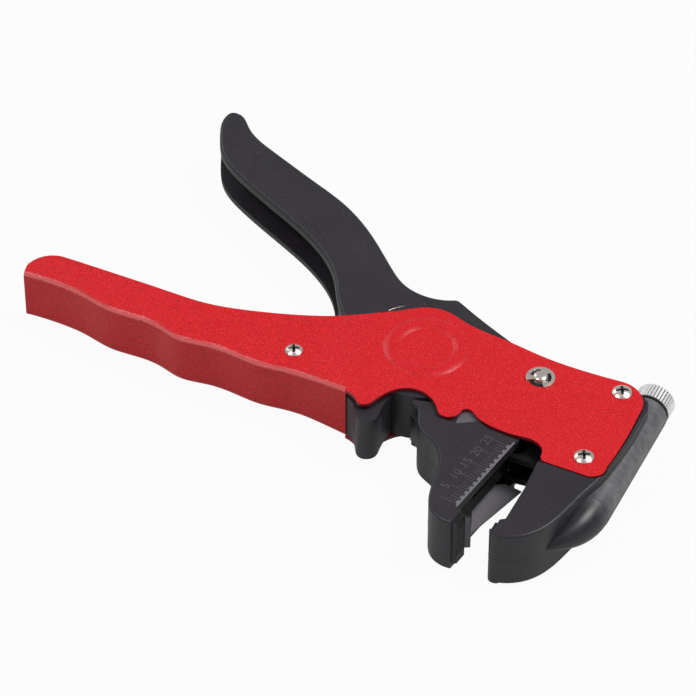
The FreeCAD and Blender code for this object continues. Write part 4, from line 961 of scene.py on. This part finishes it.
class WIRESTRIPPER_OT_clip(bpy.types.Operator):
    """Turn the jaw's pivot pin and stamp the spring clip on its end"""
    bl_idname = "wirestripper.clip"
    bl_label = "Pivot Pin and Clip"

    def execute(self, context):
        nickel = bpy.data.materials["nickel_plate"]
        pin = new_piece("pivot_pin", turned_mesh("pivot_pin", PIN_OUTLINE, PIN_PLACE), "frame",
                        nickel)
        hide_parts("jaw_pivot_pin")
        smooth_shade(pin, 40.0)
        rings = []
        for turn in CLIP_TURNS:
            across, up = math.cos(math.radians(turn)), math.sin(math.radians(turn))
            rings.append([
                place(PIN_PLACE[0] + radius * across, PIN_PLACE[1] + radius * up, z)
                for radius, z in ((CLIP_RADIUS, HEAD_TOP), (clip_inside(turn), HEAD_TOP),
                                  (clip_inside(turn), CLIP_TOP), (CLIP_RADIUS, CLIP_TOP))])
        clip = new_piece("pin_clip", lofted("pin_clip", rings), "frame", nickel)
        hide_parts("retaining_clip")
        round_edges(clip, 0.00012, 50.0)
        smooth_shade(clip, 40.0)
        return {"FINISHED"}


# Sections of the moulding that runs out of the barrel's lower end: plan place and radius.
ROOT_SECTIONS = ((57.0, -24.0, 4.6), (56.25, -31.0, 5.3), (55.7, -35.4, 5.45), (55.1, -39.6, 5.42),
                 (54.1, -43.4, 4.95), (52.6, -46.9, 4.0), (50.7, -50.1, 2.7), (48.8, -52.8, 1.3),
                 (47.6, -54.4, 0.3))


class WIRESTRIPPER_OT_root(bpy.types.Operator):
    """Run the barrel's lower end smoothly into the jaw's back"""
    bl_idname = "wirestripper.root"
    bl_label = "Barrel Root"

    def execute(self, context):
        turns = 32
        rings = []
        for i, (x, y, radius) in enumerate(ROOT_SECTIONS):
            ahead = ROOT_SECTIONS[min(i + 1, len(ROOT_SECTIONS) - 1)]
            behind = ROOT_SECTIONS[max(i - 1, 0)]
            way = Vector((ahead[0] - behind[0], ahead[1] - behind[1], 0.0)).normalized()
            ring = []
            for step in range(turns):
                turn = 2 * math.pi * step / turns
                out = radius * math.cos(turn)
                ring.append(place(x + way.y * out, y - way.x * out,
                                  MIDDLE + radius * math.sin(turn)))
            rings.append(ring)
        mesh = lofted("barrel_root", rings)
        for face in mesh.polygons:
            face.use_smooth = len(face.vertices) == 4
        piece = new_piece("barrel_root", mesh, "frame", bpy.data.materials["scuffed_plastic"])
        smooth = piece.modifiers.new("smooth", "SUBSURF")
        smooth.levels = smooth.render_levels = 1
        return {"FINISHED"}


class WIRESTRIPPER_OT_spring(bpy.types.Operator):
    """Copy the return spring's mesh into a new piece and hide the CAD spring"""
    bl_idname = "wirestripper.spring"
    bl_label = "Return Spring"

    def execute(self, context):
        node = frame["nodes"]["return_spring"]
        mesh = node.data.copy()
        mesh.name = "coil_spring"
        piece = scene_object("coil_spring", mesh)
        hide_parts("return_spring")
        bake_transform(piece)
        return {"FINISHED"}


# Where the painted highlight on the hub's edge shows beside the plate's edge, in plan.
RIM_PATH = ((-14.4, 12.2), (-13.8, 12.95), (-13.1, 13.65), (-12.4, 14.2), (-11.8, 14.6),
            (-10.8, 15.2), (-9.8, 15.7), (-8.8, 16.1), (-7.8, 16.4), (-6.8, 16.65), (-5.7, 16.8))
# In metres: the radius of the rim's bead, and how far its middle stands off the hub.
RIM_RADIUS = 0.00013
RIM_LIFT = 0.00004


class WIRESTRIPPER_OT_rim(bpy.types.Operator):
    """A bright nickel bead as a painted highlight on the lever hub's edge, where it shows behind
    the plate
    """
    bl_idname = "wirestripper.rim"
    bl_label = "Hub Rim"

    def execute(self, context):
        hub = frame["nodes"]["lever"]
        spots = []
        for x, y in RIM_PATH:
            found, at, _, _ = hub.ray_cast(place(x, y, 30.0), Vector((0, 0, -1)))
            if not found:
                raise RuntimeError("the hub's rim misses the lever")
            spots.append(at + Vector((0, 0, RIM_LIFT)))
        mesh = bpy.data.meshes.new("rim")
        mesh.from_pydata(spots, [(i, i + 1) for i in range(len(spots) - 1)], [])
        nickel = bpy.data.materials["nickel_plate"]
        bead = grown(bpy.data.node_groups["seam_bead"], mesh, Rise=RIM_RADIUS, Material=nickel)
        new_piece("hub_edge_highlight", bead, "lever", nickel)
        return {"FINISHED"}


# Each lamp's place and size in metres and its power in watts.
LAMPS = (("key_lamp", (0.62, 0.20, 0.98), 0.50, 7.6),
         ("edge_lamp", (-0.48, -0.40, 0.98), 0.34, 3.6),
         ("back_lamp", (-0.85, 0.55, 0.68), 0.60, 1.8))
# How much of the floor is its own white, to the camera and in what mirrors it.
FLOOR_SEEN = 0.95
FLOOR_MIRRORED = 0.30
# The middle of the picture, on the shell's upper face.
CAMERA_TARGET = (-19.64, -7.20, HEAD_TOP)


class WIRESTRIPPER_OT_stage(bpy.types.Operator):
    """Lay the paper floor, hang the lamps and set the camera"""
    bl_idname = "wirestripper.stage"
    bl_label = "Stage"

    def execute(self, context):
        settings = context.scene.stripper_stage
        lay_floor(tuple(settings.floor_colour))
        light_world()
        for row in LAMPS:
            lamp(*row)
        aim_camera(settings)
        context.scene.view_settings.view_transform = "Standard"
        return {"FINISHED"}


def lay_floor(colour):
    half = 3.0
    mesh = bpy.data.meshes.new("floor")
    corners = [(-half, -half, 0), (half, -half, 0), (half, half, 0), (-half, half, 0)]
    mesh.from_pydata(corners, [], [(0, 1, 2, 3)])
    floor = scene_object("floor", mesh)
    floor.location.z = -0.0001
    material = bpy.data.materials.new("paper")
    material.use_nodes = True
    tree = material.node_tree
    paper = tree.nodes["Principled BSDF"]
    paper.inputs["Base Color"].default_value = colour
    paper.inputs["Roughness"].default_value = 0.9
    glow = add(tree, "ShaderNodeEmission", (0, 200))
    glow.inputs["Color"].default_value = (1.0, 1.0, 1.0, 1.0)
    path = add(tree, "ShaderNodeLightPath", (-600, 400))
    mirrored = math_node(tree, "MULTIPLY", path.outputs["Is Glossy Ray"], FLOOR_MIRRORED,
                         (-400, 300))
    seen = math_node(tree, "MULTIPLY", path.outputs["Is Camera Ray"], FLOOR_SEEN, (-400, 500))
    part = math_node(tree, "MAXIMUM", seen, mirrored, (-200, 400))
    mix = add(tree, "ShaderNodeMixShader", (300, 0))
    tree.links.new(part, mix.inputs[0])
    tree.links.new(paper.outputs[0], mix.inputs[1])
    tree.links.new(glow.outputs[0], mix.inputs[2])
    tree.links.new(mix.outputs[0], tree.nodes["Material Output"].inputs["Surface"])
    mesh.materials.append(material)


def light_world():
    world = bpy.data.worlds.new("studio")
    bpy.context.scene.world = world
    world.use_nodes = True
    back = world.node_tree.nodes["Background"]
    back.inputs["Color"].default_value = (0.93, 0.95, 1.0, 1.0)
    back.inputs["Strength"].default_value = 0.27


def lamp(name, at, size, power):
    """A square soft box aimed at the tool."""
    light = bpy.data.lights.new(name, "AREA")
    light.shape = "SQUARE"
    light.size = size
    light.energy = power
    box = scene_object(name, light)
    box.location = at
    box.rotation_euler = (-Vector(at)).to_track_quat("-Z", "Y").to_euler()


def aim_camera(settings):
    """Looks at the tool from the photograph's angle."""
    azimuth, elevation = settings.view_azimuth, settings.view_elevation
    back = Vector((math.sin(azimuth) * math.cos(elevation),
                   -math.cos(azimuth) * math.cos(elevation), math.sin(elevation)))
    right = Vector((math.cos(azimuth), math.sin(azimuth), 0.0))
    up = back.cross(right)
    target = place(*CAMERA_TARGET)
    lens = bpy.data.cameras.new("camera")
    lens.lens = settings.lens
    lens.sensor_width = 36.0
    lens.clip_end = 10.0
    camera = scene_object("camera", lens)
    turn = Matrix((right, up, back)).transposed().to_4x4()
    camera.matrix_world = Matrix.Translation(target + back * settings.view_distance) @ turn
    bpy.context.scene.camera = camera


STEPS = (WIRESTRIPPER_OT_groups, WIRESTRIPPER_OT_shell, WIRESTRIPPER_OT_mouldings,
         WIRESTRIPPER_OT_metal, WIRESTRIPPER_OT_scale, WIRESTRIPPER_OT_seams,
         WIRESTRIPPER_OT_recesses, WIRESTRIPPER_OT_clip, WIRESTRIPPER_OT_root,
         WIRESTRIPPER_OT_spring, WIRESTRIPPER_OT_rim, WIRESTRIPPER_OT_stage)
SETTINGS = (("stripper_finish", FinishSettings), ("stripper_detail", DetailSettings),
            ("stripper_stage", StageSettings))


class WIRESTRIPPER_PT_panel(bpy.types.Panel):
    """Lists the steps that dress the tool"""
    bl_idname = "WIRESTRIPPER_PT_panel"
    bl_label = "Wire Stripper"
    bl_space_type = "VIEW_3D"
    bl_region_type = "UI"
    bl_category = "Wire Stripper"

    def draw(self, context):
        for name, _ in SETTINGS:
            owner = getattr(context.scene, name)
            for key in owner.bl_rna.properties.keys():
                if key not in {"rna_type", "name"}:
                    self.layout.prop(owner, key)
        for step in STEPS:
            self.layout.operator(step.bl_idname)


def register():
    for name, settings in SETTINGS:
        bpy.utils.register_class(settings)
        setattr(bpy.types.Scene, name, bpy.props.PointerProperty(type=settings))
    for cls in (*STEPS, WIRESTRIPPER_PT_panel):
        bpy.utils.register_class(cls)


def unregister():
    for cls in reversed((*STEPS, WIRESTRIPPER_PT_panel)):
        bpy.utils.unregister_class(cls)
    for name, settings in reversed(SETTINGS):
        delattr(bpy.types.Scene, name)
        bpy.utils.unregister_class(settings)


def main():
    register()
    for step in STEPS:
        family, action = step.bl_idname.split(".")
        getattr(getattr(bpy.ops, family), action)()


if __name__ == "__main__":
    main()
